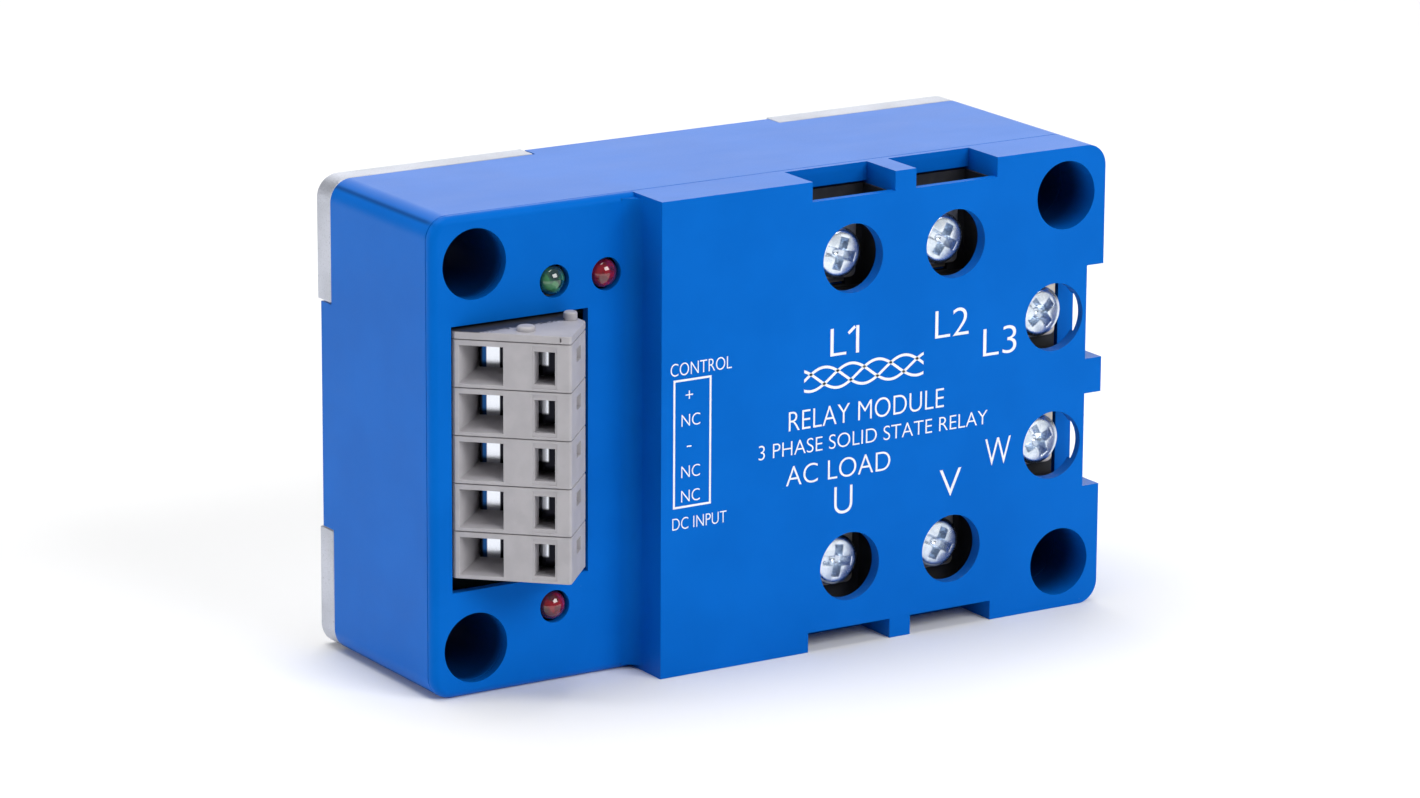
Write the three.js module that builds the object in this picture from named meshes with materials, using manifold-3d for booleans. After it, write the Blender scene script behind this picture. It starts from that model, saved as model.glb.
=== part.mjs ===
// Three-phase solid state relay: a blue moulded case on an aluminium base plate, with six screw
// terminals under a raised cover and a five-pole spring-clamp control terminal at its low end.
// Millimetres. X runs along the case, Z across it, and Y from the front (-Y) to the mounting face.
// The origin is the centre of the mounting face, the back of the base plate.
import * as THREE from 'three';
import { mergeVertices } from 'three/addons/utils/BufferGeometryUtils.js';
import Module from 'manifold-3d';

const wasm = await Module();
wasm.setup();

// ---- Driving dimensions -----------------------------------------------------------------------

const LENGTH = 116;
const WIDTH = 74;
const CORNER_RADIUS = 3.5;
const PLATE_THICKNESS = 4.4;
const RIM_Y = -33.4; // front edge of the housing, where the cover starts
const SEAM = 0.15; // open line between housing and cover
const LOW_FACE_Y = -35;
const RAISED_FACE_Y = -42.5;
const STEP_X = -22.8; // where the raised block of the cover starts
const STEP_RADIUS = 2.4;
const EDGE_RADIUS = 1.4; // rounded front edge of the low face
const WALL = 2.2;
const FRONT_WALL = 2; // front plate of the raised block
const DECK = 2; // floor that the terminals stand on

const MOUNT_X = 50.6;
const MOUNT_Z = 29.5;
const TUNNEL_RADIUS = 5.4;
const TUNNEL_WALL = 1.8;
const PLATE_HOLE_RADIUS = 2.6;

const TAB_HALF_X = 22.2; // housing tabs that reach back beside the base plate
const TAB_HALF_Z = 17.7;
const TAB_END_Y = -1.2;
const PLATE_GAP = 0.3;

// Power terminals: axis position, and the turn about Y that points local +Z at the nearest side.
const TERMINALS = [
  { name: 'L1', x: 11.3, z: 24.3, turn: 0 },
  { name: 'L2', x: 30.1, z: 24.3, turn: 0 },
  { name: 'L3', x: 48.8, z: 10.3, turn: Math.PI / 2 },
  { name: 'U', x: 11.3, z: -24.3, turn: Math.PI },
  { name: 'V', x: 30.1, z: -24.3, turn: Math.PI },
  { name: 'W', x: 48.8, z: -10.3, turn: Math.PI / 2 },
];
const ACCESS_RADIUS = 5.4;
const NOTCH_HALF = 7.5;
const NOTCH_DEPTH = 3.1;
const NOTCH_BACK_Y = -34.6; // the notch leaves a thin strip of the cover behind it
const CHAMBER_HALF = 7.5;
const CHAMBER_BACK = 6.9; // from the screw axis to the inner wall of its chamber
const LIP_THICKNESS = 1.2; // the front wall is thinner where the notch floor ends
const LIP_RUN = 1.6;

const NUT_SIZE = 7;
const NUT_THICKNESS = 3;
const NUT_POCKET = 7.4;
const NEST_HALF = 4.9;
const NEST_INNER = 4.1; // side of the nest that faces the riser
const NEST_END_Y = -29.2;
const BUSBAR_THICKNESS = 1;
const BUSBAR_HALF_WIDTH = 3.5;
const BUSBAR_RISER = -5.6; // inner face of the riser, from the screw axis
const BUSBAR_FOOT = 5;
const TAB_Y = -33.6;
const CLAMP_Y = -34.9;
const CLAMP_SIZE = 9.4;
const CLAMP_THICKNESS = 1.2;
const HEAD_Y = -36.4;
const HEAD_HEIGHT = 2.8;
const HEAD_RADIUS = 4;
const SCREW_RADIUS = 2;
const SCREW_TIP_Y = -26.4;
const RECESS_WING = 2.2;
const RECESS_HALF = 0.62;
const RECESS_DEPTH = 1.7;

const WINDOW = { x0: -54.6, x1: -31.1, z0: -20.5, z1: 20.4 };
const LEDS = [
  { name: 'status_led_power', x: -36.9, z: 25.2, colour: 0x3f9a4c },
  { name: 'status_led_phase', x: -27.9, z: 25.2, colour: 0xa01822 },
  { name: 'status_led_fault', x: -36.9, z: -25.2, colour: 0xa01822 },
];
const LED_HOLE_RADIUS = 2.55;
const LED_RADIUS = 2.3;
const LED_FLANGE_RADIUS = 2.8;
const LED_SHOULDER_Y = -33.5;

const BOARD_FRONT_Y = -29.4;
const BOARD_THICKNESS = 1.6;
const BOARD = { x0: -55.2, x1: -24.2, halfZ: 34.2 };

// Control terminal: its wire face is turned to the left, and starts at the left edge of the window.
const POLES = 5;
const POLE_PITCH = 7.35;
const POLE_GAP = 0.1;
const POLE_TOP_Z = 18.6;
const END_PLATE = 1.5;
const FACE_ANGLE = THREE.MathUtils.degToRad(43);
const FACE_START = new THREE.Vector2(-54.25, -35.4);
const FACE_LENGTH = 17.6;
const SHOULDER_LENGTH = 9.8;
const POLE_BASE_Y = -29.7;
const POLE_WALL = 0.7;
const SHAFT_DEPTH = 9.4;
const SLOT = { u0: 12, u1: 15.1, height: 5 };
const SPRING_CHAMBER = { u0: 7.3, u1: 16.5, n0: 3.1, n1: 9.4 };
const SPRING_LOOP = { u: 13.9, n: 6.4, radius: 1.9 };
const SPRING_WIDTH = 4.4;
const SPRING_THICKNESS = 0.4;

const SUBSTRATE_THICKNESS = 1;
const CHIP_SIZE = 6;
const CHIP_THICKNESS = 0.6;
const POTTING = { y0: -9, y1: -16 };
const CONTACT_GAP = 0.1; // between pieces that are soldered or bonded flat on each other

const ROUND = 32; // sides of the large round holes
const SMALL_ROUND = 24;

// ---- Geometry helpers -------------------------------------------------------------------------

// A closed geometry as a solid that can be joined and cut.
function solid(geometry) {
  const bare = geometry.index ? geometry.toNonIndexed() : geometry.clone();
  bare.deleteAttribute('normal');
  bare.deleteAttribute('uv');
  const merged = mergeVertices(bare, 1e-4);
  return new wasm.Manifold(
    new wasm.Mesh({
      numProp: 3,
      vertProperties: merged.attributes.position.array,
      triVerts: new Uint32Array(merged.index.array),
    }),
  );
}

function geometryOf(manifold) {
  const mesh = manifold.getMesh();
  const positions = new Float32Array(mesh.numVert * 3);
  for (let i = 0; i < mesh.numVert; i++) {
    positions.set(mesh.vertProperties.subarray(i * mesh.numProp, i * mesh.numProp + 3), i * 3);
  }
  return new THREE.BufferGeometry()
    .setAttribute('position', new THREE.BufferAttribute(positions, 3))
    .setIndex(new THREE.BufferAttribute(mesh.triVerts, 1));
}

const join = (parts) => parts.reduce((all, part) => all.add(part));
const cut = (body, tools) => tools.reduce((left, tool) => left.subtract(tool), body);

// An outline in X and Z, extruded from yBack to the front.
function slab(shape, yBack, yFront, curveSegments = 6) {
  const depth = yBack - yFront;
  const geometry = new THREE.ExtrudeGeometry(shape, { depth, bevelEnabled: false, curveSegments });
  return solid(geometry.rotateX(Math.PI / 2).translate(0, yBack, 0));
}

// An outline in X and Y, extruded from z0 to z1.
function prism(points, z0, z1) {
  const shape = new THREE.Shape(points);
  const geometry = new THREE.ExtrudeGeometry(shape, { depth: z1 - z0, bevelEnabled: false });
  return solid(geometry.translate(0, 0, z0));
}

function block(x0, x1, y0, y1, z0, z1) {
  const geometry = new THREE.BoxGeometry(x1 - x0, y1 - y0, z1 - z0);
  return solid(geometry.translate((x0 + x1) / 2, (y0 + y1) / 2, (z0 + z1) / 2));
}

// A cylinder along Y, from yBack to the front.
function post(x, z, radius, yBack, yFront, sides = ROUND) {
  const geometry = new THREE.CylinderGeometry(radius, radius, yBack - yFront, sides);
  return solid(geometry.translate(x, (yBack + yFront) / 2, z));
}

function roundedOutline(x0, x1, z0, z1, radius) {
  const shape = new THREE.Shape();
  shape.moveTo(x0 + radius, z0);
  shape.lineTo(x1 - radius, z0);
  shape.absarc(x1 - radius, z0 + radius, radius, -Math.PI / 2, 0);
  shape.lineTo(x1, z1 - radius);
  shape.absarc(x1 - radius, z1 - radius, radius, 0, Math.PI / 2);
  shape.lineTo(x0 + radius, z1);
  shape.absarc(x0 + radius, z1 - radius, radius, Math.PI / 2, Math.PI);
  shape.lineTo(x0, z0 + radius);
  shape.absarc(x0 + radius, z0 + radius, radius, Math.PI, 1.5 * Math.PI);
  return shape;
}

const caseOutline = (inset = 0, radius = CORNER_RADIUS - inset) =>
  roundedOutline(
    -LENGTH / 2 + inset,
    LENGTH / 2 - inset,
    -WIDTH / 2 + inset,
    WIDTH / 2 - inset,
    radius,
  );

const mountHoles = () => [-1, 1].flatMap((sx) => [-1, 1].map((sz) => [sx * MOUNT_X, sz * MOUNT_Z]));

// A box in a terminal's own frame, carried to the case by its turn about Y.
function terminalBlock(terminal, half, y0, y1, inner, outer) {
  const geometry = new THREE.BoxGeometry(2 * half, y1 - y0, outer - inner);
  geometry.translate(0, (y0 + y1) / 2, (inner + outer) / 2);
  geometry.rotateY(terminal.turn);
  return solid(geometry.translate(terminal.x, 0, terminal.z));
}

// Distance from a terminal's screw axis to the case side that its wire comes in from.
const reach = (terminal) =>
  terminal.turn === Math.PI / 2 ? LENGTH / 2 - terminal.x : WIDTH / 2 - Math.abs(terminal.z);

// ---- Materials --------------------------------------------------------------------------------

const paint = (color, roughness, metalness) =>
  new THREE.MeshStandardMaterial({ color, roughness, metalness });

const bluePlastic = paint(0x0a63c9, 0.42, 0);
const bareAluminium = paint(0xc9c9cc, 0.55, 0.9);
const platedSteel = paint(0xc4cbd6, 0.3, 1);
const tinnedCopper = paint(0xb9b2a4, 0.35, 1);
const greyPlastic = paint(0xb9b5b6, 0.5, 0);
const springSteel = paint(0xdadde2, 0.18, 1);
const boardGreen = paint(0x0f5a36, 0.45, 0);
const ceramicWhite = paint(0xe9e6dc, 0.6, 0);
const siliconGrey = paint(0x3c3f47, 0.35, 0.2);
const blackEpoxy = paint(0x151517, 0.5, 0);

const relay = new THREE.Group();

function add(name, shape, material, parent = relay) {
  const mesh = new THREE.Mesh(shape.isBufferGeometry ? shape : geometryOf(shape), material);
  mesh.name = name;
  parent.add(mesh);
  return mesh;
}

// ---- Base plate and housing -------------------------------------------------------------------

function basePlate() {
  const notch = WALL + PLATE_GAP;
  const halfX = TAB_HALF_X + PLATE_GAP;
  const halfZ = TAB_HALF_Z + PLATE_GAP;
  const yRange = [-PLATE_THICKNESS - 1, 1];
  const sides = [-1, 1].flatMap((side) => {
    const xs = [side * (LENGTH / 2 + 1), side * (LENGTH / 2 - notch)].sort((a, b) => a - b);
    const zs = [side * (WIDTH / 2 + 1), side * (WIDTH / 2 - notch)].sort((a, b) => a - b);
    return [block(...xs, ...yRange, -halfZ, halfZ), block(-halfX, halfX, ...yRange, ...zs)];
  });
  const holes = mountHoles().map(([x, z]) =>
    post(x, z, PLATE_HOLE_RADIUS, 1, -PLATE_THICKNESS - 1, SMALL_ROUND),
  );
  return cut(slab(caseOutline(), 0, -PLATE_THICKNESS), [...sides, ...holes]);
}

// The frame that stands on the plate: walls, corner tunnels, terminal deck and nut nests.
function housing() {
  const back = -PLATE_THICKNESS - CONTACT_GAP;
  const deckBack = RIM_Y + DECK;
  const outer = slab(caseOutline(), back, RIM_Y);
  const inside = slab(caseOutline(WALL, 1.5), back + 1, deckBack);
  const lowOpening = block(-LENGTH / 2 + WALL, STEP_X + WALL, RIM_Y - 1, deckBack + 1, -1, 1);
  const lowWide = lowOpening.scale([1, 1, WIDTH / 2 - WALL]);
  const tabs = [-1, 1].flatMap((side) => {
    const xs = [side * (LENGTH / 2), side * (LENGTH / 2 - WALL)].sort((a, b) => a - b);
    const zs = [side * (WIDTH / 2), side * (WIDTH / 2 - WALL)].sort((a, b) => a - b);
    return [
      block(...xs, back - 1, TAB_END_Y, -TAB_HALF_Z, TAB_HALF_Z),
      block(-TAB_HALF_X, TAB_HALF_X, back - 1, TAB_END_Y, ...zs),
    ];
  });
  const bosses = mountHoles().map(([x, z]) =>
    slab(caseOutline(), back, RIM_Y).intersect(
      post(x, z, TUNNEL_RADIUS + TUNNEL_WALL, back, RIM_Y),
    ),
  );
  const nests = TERMINALS.map((t) =>
    terminalBlock(t, NEST_HALF, deckBack - 1, NEST_END_Y, -NEST_INNER, NEST_HALF),
  );
  const tunnels = mountHoles().map(([x, z]) => post(x, z, TUNNEL_RADIUS, 1, RIM_Y - 1));
  const pockets = TERMINALS.flatMap((t) => [
    terminalBlock(
      t,
      NUT_POCKET / 2,
      RIM_Y - 1,
      RIM_Y + NUT_THICKNESS + 0.2,
      -NUT_POCKET / 2,
      NUT_POCKET / 2,
    ),
    post(t.x, t.z, SCREW_RADIUS + 0.3, NEST_END_Y + 1, RIM_Y, SMALL_ROUND),
    terminalBlock(
      t,
      BUSBAR_HALF_WIDTH + 0.3,
      RIM_Y - 1,
      deckBack + 1,
      BUSBAR_RISER - 0.3,
      BUSBAR_RISER + BUSBAR_THICKNESS + 0.3,
    ),
  ]);
  const shell = cut(outer, [inside, lowWide]);
  return cut(join([shell, ...tabs, ...bosses, ...nests]), [...tunnels, ...pockets]);
}

// ---- Front cover ------------------------------------------------------------------------------

// The thin plate of the low end, with a rounded front edge, and the raised terminal block.
function frontCover() {
  const back = RIM_Y - SEAM;
  const lowPlate = slab(caseOutline(), back, LOW_FACE_Y + EDGE_RADIUS / 2);
  const lowTop = slab(
    caseOutline(EDGE_RADIUS / 2, CORNER_RADIUS - EDGE_RADIUS / 2),
    LOW_FACE_Y + EDGE_RADIUS / 2,
    LOW_FACE_Y,
  );
  const raised = slab(caseOutline(), back, RAISED_FACE_Y).intersect(
    block(STEP_X, LENGTH / 2 + 1, RAISED_FACE_Y - 1, 0, -WIDTH, WIDTH),
  );
  const fillet = cut(
    block(
      STEP_X - STEP_RADIUS,
      STEP_X + 0.5,
      LOW_FACE_Y - STEP_RADIUS,
      LOW_FACE_Y + 0.5,
      -WIDTH / 2 + EDGE_RADIUS / 2,
      WIDTH / 2 - EDGE_RADIUS / 2,
    ),
    [stepFilletCutter()],
  );
  const body = join([lowPlate, lowTop, raised, fillet]);
  return cut(body, [...coverHollows(back), ...coverHoles(), ...TERMINALS.flatMap(terminalCuts)]);
}

// The round stick that leaves the hollow fillet where the low face meets the step.
function stepFilletCutter() {
  const geometry = new THREE.CylinderGeometry(STEP_RADIUS, STEP_RADIUS, WIDTH, 20);
  geometry.rotateX(Math.PI / 2);
  return solid(geometry.translate(STEP_X - STEP_RADIUS, LOW_FACE_Y - STEP_RADIUS, 0));
}

// Thin-wall hollows behind the raised face, clear of the terminal chambers.
function coverHollows(back) {
  const front = RAISED_FACE_Y + FRONT_WALL;
  const firstChamber = TERMINALS[0].x - CHAMBER_HALF - WALL;
  const halfZ = WIDTH / 2 - WALL;
  const centreHalfZ = TERMINALS[0].z - CHAMBER_BACK - WALL;
  const lastX = TERMINALS[2].x - CHAMBER_BACK - WALL;
  return [
    block(STEP_X + WALL, firstChamber, front, back + 1, -halfZ, halfZ),
    block(firstChamber - 1, lastX, front, back + 1, -centreHalfZ, centreHalfZ),
  ];
}

function coverHoles() {
  const front = RAISED_FACE_Y - 1;
  return [
    block(WINDOW.x0, WINDOW.x1, LOW_FACE_Y - 1, RIM_Y + 1, WINDOW.z0, WINDOW.z1),
    ...mountHoles().map(([x, z]) => post(x, z, TUNNEL_RADIUS, RIM_Y + 1, front)),
    ...LEDS.map((led) => post(led.x, led.z, LED_HOLE_RADIUS, RIM_Y + 1, front, SMALL_ROUND)),
  ];
}

// A terminal's chamber, the notch that its wire comes in through, and its screwdriver hole.
function terminalCuts(terminal) {
  const side = reach(terminal);
  const chamberFront = RAISED_FACE_Y + FRONT_WALL;
  const floor = side - NOTCH_DEPTH;
  return [
    terminalBlock(terminal, CHAMBER_HALF, chamberFront, RIM_Y + 1, -CHAMBER_BACK, floor + 0.2),
    terminalBlock(
      terminal,
      CHAMBER_HALF,
      RAISED_FACE_Y + LIP_THICKNESS,
      chamberFront + 1,
      floor - LIP_RUN,
      floor + 0.2,
    ),
    terminalBlock(terminal, NOTCH_HALF, RAISED_FACE_Y - 1, NOTCH_BACK_Y, floor, side + 1),
    post(terminal.x, terminal.z, ACCESS_RADIUS, chamberFront + 1, RAISED_FACE_Y - 1),
  ];
}

// ---- Power terminals --------------------------------------------------------------------------

// Pan-head screw with a cross recess, along Y.
function terminalScrew() {
  const top = HEAD_Y - HEAD_HEIGHT;
  const profile = [
    [0, SCREW_TIP_Y],
    [SCREW_RADIUS - 0.6, SCREW_TIP_Y],
    [SCREW_RADIUS, SCREW_TIP_Y - 0.8],
    [SCREW_RADIUS, HEAD_Y],
    [HEAD_RADIUS, HEAD_Y],
    [HEAD_RADIUS, HEAD_Y - 1.3],
    [HEAD_RADIUS - 0.35, top + 0.7],
    [HEAD_RADIUS - 1.1, top + 0.15],
    [HEAD_RADIUS - 2.2, top],
    [0, top],
  ];
  const points = profile.reverse().map(([radius, y]) => new THREE.Vector2(radius, y));
  const body = solid(new THREE.LatheGeometry(points, SMALL_ROUND));
  const floor = top + RECESS_DEPTH;
  return cut(body, [
    block(-RECESS_WING, RECESS_WING, top - 1, floor, -RECESS_HALF, RECESS_HALF),
    block(-RECESS_HALF, RECESS_HALF, top - 1, floor, -RECESS_WING, RECESS_WING),
  ]);
}

function clampPlate() {
  const half = CLAMP_SIZE / 2;
  const outline = roundedOutline(-half, half, -half, half, 1);
  return cut(slab(outline, CLAMP_Y, CLAMP_Y - CLAMP_THICKNESS, 2), [
    post(0, 0, SCREW_RADIUS + 0.25, 0, CLAMP_Y - 5, SMALL_ROUND),
  ]);
}

function squareNut() {
  const half = NUT_SIZE / 2;
  const front = RIM_Y + 0.1;
  return cut(block(-half, half, front, front + NUT_THICKNESS, -half, half), [
    post(0, 0, SCREW_RADIUS + 0.1, 0, front - 5, SMALL_ROUND),
  ]);
}

// Strip bent from a foot on the substrate, up the riser and out under the clamp plate.
function busbar() {
  const footY = -PLATE_THICKNESS - SUBSTRATE_THICKNESS - 3 * CONTACT_GAP;
  const t = BUSBAR_THICKNESS;
  const r = BUSBAR_RISER;
  const profile = [
    [r, footY],
    [r + BUSBAR_FOOT, footY],
    [r + BUSBAR_FOOT, footY - t],
    [r + t, footY - t],
    [r + t, TAB_Y],
    [NEST_HALF - 0.4, TAB_Y],
    [NEST_HALF - 0.4, TAB_Y - t],
    [r, TAB_Y - t],
  ];
  // Drawn with local Z as the outline's first axis, then turned so that it lies along Z.
  const strip = prism(
    profile.map(([z, y]) => new THREE.Vector2(-z, y)).reverse(),
    -BUSBAR_HALF_WIDTH,
    BUSBAR_HALF_WIDTH,
  );
  const geometry = geometryOf(strip).rotateY(Math.PI / 2);
  return cut(solid(geometry), [post(0, 0, SCREW_RADIUS + 0.3, 0, CLAMP_Y, SMALL_ROUND)]);
}

// ---- Control terminal -------------------------------------------------------------------------

// A point of the terminal's section: u runs along the wire face, n goes in from it.
function faceAt(u, n) {
  const along = new THREE.Vector2(Math.cos(FACE_ANGLE), -Math.sin(FACE_ANGLE));
  const inward = new THREE.Vector2(Math.sin(FACE_ANGLE), Math.cos(FACE_ANGLE));
  return FACE_START.clone().addScaledVector(along, u).addScaledVector(inward, n);
}

function poleOutline() {
  const shoulder = faceAt(FACE_LENGTH, SHOULDER_LENGTH);
  return [
    new THREE.Vector2(FACE_START.x, POLE_BASE_Y),
    FACE_START.clone(),
    faceAt(FACE_LENGTH - 0.5, 0),
    faceAt(FACE_LENGTH, 0.5),
    shoulder,
    new THREE.Vector2(shoulder.x, POLE_BASE_Y),
  ].reverse();
}

const faceBox = (u0, u1, n0, n1, z0, z1) =>
  prism([faceAt(u0, n1), faceAt(u1, n1), faceAt(u1, n0), faceAt(u0, n0)].reverse(), z0, z1);

// One pole: wire funnel, tool slot, the hollow that the spring works in, and a test hole.
function controlPole(topZ) {
  const bottomZ = topZ - POLE_PITCH + POLE_GAP;
  const z0 = bottomZ + POLE_WALL;
  const z1 = topZ - POLE_WALL;
  const middle = (z0 + z1) / 2;
  const slotHalf = SLOT.height / 2;
  const funnel = prism(
    [faceAt(0.4, -1), faceAt(0.4, 0), faceAt(2, 4), faceAt(2, 7.5), faceAt(2.8, SHAFT_DEPTH)]
      .concat([faceAt(7.4, SHAFT_DEPTH), faceAt(7.4, -1)])
      .reverse(),
    z0,
    z1,
  );
  const { u0, u1, n0, n1 } = SPRING_CHAMBER;
  return cut(prism(poleOutline(), bottomZ, topZ), [
    funnel,
    faceBox(u0, u1, n0, n1, z0, z1),
    faceBox(SLOT.u0, SLOT.u1, -1, n0 + 1, middle - slotHalf, middle + slotHalf),
    faceBox(FACE_LENGTH - 1.6, FACE_LENGTH + 1, 4.6, 6, middle - 0.7, middle + 0.7),
    contactBarSolid(middle, 0.35),
  ]);
}

// Current bar under the wire shaft, with its solder pin through the board.
function contactBarSolid(middle, grow = 0) {
  const half = 1.6 + grow;
  const pinHalf = 0.5 + grow;
  const pin = faceAt(9.4, 10.4);
  const barTop = SPRING_CHAMBER.n1 + CONTACT_GAP - grow;
  const bar = faceBox(5.4 - grow, 11.4 + grow, barTop, barTop + 0.8 + 2 * grow, middle - half, middle + half);
  const pinFrontY = pin.y - 0.6;
  const pinBackY = BOARD_FRONT_Y + BOARD_THICKNESS + 1.4;
  return bar.add(
    block(
      pin.x - pinHalf,
      pin.x + pinHalf,
      pinFrontY,
      grow ? POLE_BASE_Y + 1 : pinBackY,
      middle - pinHalf,
      middle + pinHalf,
    ),
  );
}

// Leaf spring of one pole: a loop under the tool slot, and a free leg across the wire shaft.
function clampSpring(middle) {
  const loop = SPRING_LOOP;
  const line = [new THREE.Vector2(9, loop.n + loop.radius)];
  const steps = 10;
  for (let i = 0; i <= steps; i++) {
    const angle = Math.PI / 2 - (i / steps) * Math.PI;
    line.push(
      new THREE.Vector2(
        loop.u + loop.radius * Math.cos(angle),
        loop.n + loop.radius * Math.sin(angle),
      ),
    );
  }
  line.push(new THREE.Vector2(8.4, loop.n - loop.radius));
  line.push(new THREE.Vector2(3.2, 7.4));
  const outer = line.map((point, i) => offsetPoint(line, i, SPRING_THICKNESS / 2));
  const inner = line.map((point, i) => offsetPoint(line, i, -SPRING_THICKNESS / 2));
  const outline = [...outer, ...inner.reverse()].map((p) => faceAt(p.x, p.y));
  const half = SPRING_WIDTH / 2;
  const clockwise = THREE.ShapeUtils.isClockWise(outline);
  return prism(clockwise ? outline.reverse() : outline, middle - half, middle + half);
}

// A point beside a polyline, at a distance measured square to its two neighbours.
function offsetPoint(line, i, distance) {
  const before = line[Math.max(i - 1, 0)];
  const after = line[Math.min(i + 1, line.length - 1)];
  const along = after.clone().sub(before).normalize();
  return line[i].clone().add(new THREE.Vector2(-along.y, along.x).multiplyScalar(distance));
}

// Cover of the open side of the top pole, with two round pegs.
function endPlate() {
  const z0 = POLE_TOP_Z + POLE_GAP;
  const pegs = [
    { at: faceAt(10.2, 2.6), radius: 1.4, height: 0.7 },
    { at: faceAt(15.2, 10.4), radius: 1.05, height: 1.3 },
  ].map(({ at, radius, height }) => {
    const geometry = new THREE.CylinderGeometry(radius * 0.85, radius, height + 0.5, 16);
    geometry.rotateX(Math.PI / 2);
    return solid(geometry.translate(at.x, at.y, z0 + END_PLATE + (height - 0.5) / 2));
  });
  return join([prism(poleOutline(), z0, z0 + END_PLATE), ...pegs]);
}

// ---- Control board ----------------------------------------------------------------------------

// Board under the low face, cut away round the two corner tunnels and drilled for the pins.
function controlBoard() {
  const back = BOARD_FRONT_Y + BOARD_THICKNESS;
  const board = block(BOARD.x0, BOARD.x1, BOARD_FRONT_Y, back, -BOARD.halfZ, BOARD.halfZ);
  const clearance = TUNNEL_RADIUS + TUNNEL_WALL + 0.6;
  const corners = [-1, 1].flatMap((side) => {
    const zs = [side * MOUNT_Z, side * WIDTH].sort((a, b) => a - b);
    return [
      post(-MOUNT_X, side * MOUNT_Z, clearance, back + 1, BOARD_FRONT_Y - 1, SMALL_ROUND),
      block(-LENGTH / 2, -MOUNT_X + clearance, BOARD_FRONT_Y - 1, back + 1, ...zs),
    ];
  });
  const pin = faceAt(9.4, 10.4);
  const drills = poleMiddles().map((z) => post(pin.x, z, 0.95, back + 1, BOARD_FRONT_Y - 1, 12));
  return cut(board, [...corners, ...drills]);
}

// Round lens with a domed top and a wider foot on the board.
function statusLed() {
  const foot = BOARD_FRONT_Y - CONTACT_GAP;
  const points = [new THREE.Vector2(0, foot)];
  points.push(new THREE.Vector2(LED_FLANGE_RADIUS, foot));
  points.push(new THREE.Vector2(LED_FLANGE_RADIUS, foot - 1));
  points.push(new THREE.Vector2(LED_RADIUS, foot - 1));
  const steps = 5;
  for (let i = 0; i <= steps; i++) {
    const angle = ((i / steps) * Math.PI) / 2;
    const radius = i === steps ? 0 : LED_RADIUS * Math.cos(angle);
    points.push(new THREE.Vector2(radius, LED_SHOULDER_Y - LED_RADIUS * Math.sin(angle)));
  }
  return new THREE.LatheGeometry(points.reverse(), SMALL_ROUND);
}

const poleMiddles = () =>
  Array.from({ length: POLES }, (_, i) => POLE_TOP_Z - i * POLE_PITCH - (POLE_PITCH - POLE_GAP) / 2);

// ---- Power stage ------------------------------------------------------------------------------

const PHASES = [
  { x0: 2.4, x1: 20.2, halfZ: 26, chipX: 11.3, chipZ: 8 },
  { x0: 21.2, x1: 39, halfZ: 26, chipX: 30.1, chipZ: 8 },
  { x0: 40, x1: 55.2, halfZ: 20, chipX: 48.4, chipZ: 3.4 },
];

// Filling over the power stage, with slots for the risers and clear of the corner tunnels.
function pottingFill() {
  const fill = slab(caseOutline(WALL + PLATE_GAP, 1.2), POTTING.y0, POTTING.y1);
  const clearance = TUNNEL_RADIUS + TUNNEL_WALL + PLATE_GAP;
  const bosses = mountHoles().map(([x, z]) => post(x, z, clearance, 0, POTTING.y1 - 1, SMALL_ROUND));
  const corners = mountHoles().map(([x, z]) => {
    const xs = [x, Math.sign(x) * LENGTH].sort((a, b) => a - b);
    const zs = [z, Math.sign(z) * WIDTH].sort((a, b) => a - b);
    return block(...xs, POTTING.y1 - 1, 0, ...zs);
  });
  const risers = TERMINALS.map((t) =>
    terminalBlock(
      t,
      BUSBAR_HALF_WIDTH + PLATE_GAP,
      POTTING.y1 - 1,
      0,
      BUSBAR_RISER - PLATE_GAP,
      BUSBAR_RISER + BUSBAR_THICKNESS + PLATE_GAP,
    ),
  );
  return cut(fill, [...bosses, ...corners, ...risers]);
}

// ---- Assembly ---------------------------------------------------------------------------------

add('base_plate', basePlate(), bareAluminium);
add('housing', housing(), bluePlastic);
add('front_cover', frontCover(), bluePlastic);

const screwShape = geometryOf(terminalScrew());
const clampShape = geometryOf(clampPlate());
const nutShape = geometryOf(squareNut());
const busbarShape = geometryOf(busbar());
TERMINALS.forEach((terminal) => {
  const place = new THREE.Group();
  place.position.set(terminal.x, 0, terminal.z);
  place.rotation.y = terminal.turn;
  relay.add(place);
  add(`terminal_screw_${terminal.name}`, screwShape, platedSteel, place).rotation.y = Math.PI / 5;
  add(`clamp_plate_${terminal.name}`, clampShape, platedSteel, place);
  add(`terminal_nut_${terminal.name}`, nutShape, platedSteel, place);
  add(`busbar_${terminal.name}`, busbarShape, tinnedCopper, place);
});

PHASES.forEach((phase, i) => {
  const top = -PLATE_THICKNESS - CONTACT_GAP;
  const front = top - SUBSTRATE_THICKNESS;
  const half = CHIP_SIZE / 2;
  const ceramic = block(phase.x0, phase.x1, front, top, -phase.halfZ, phase.halfZ);
  add(`ceramic_substrate_${i + 1}`, ceramic, ceramicWhite);
  [1, -1].forEach((side) => {
    const z = side * phase.chipZ;
    const chipBack = front - CONTACT_GAP;
    const chip = block(
      phase.chipX - half,
      phase.chipX + half,
      chipBack - CHIP_THICKNESS,
      chipBack,
      z - half,
      z + half,
    );
    add(`thyristor_chip_${i + 1}${side > 0 ? 'a' : 'b'}`, chip, siliconGrey);
  });
});
add('potting_fill', pottingFill(), blackEpoxy);

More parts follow.
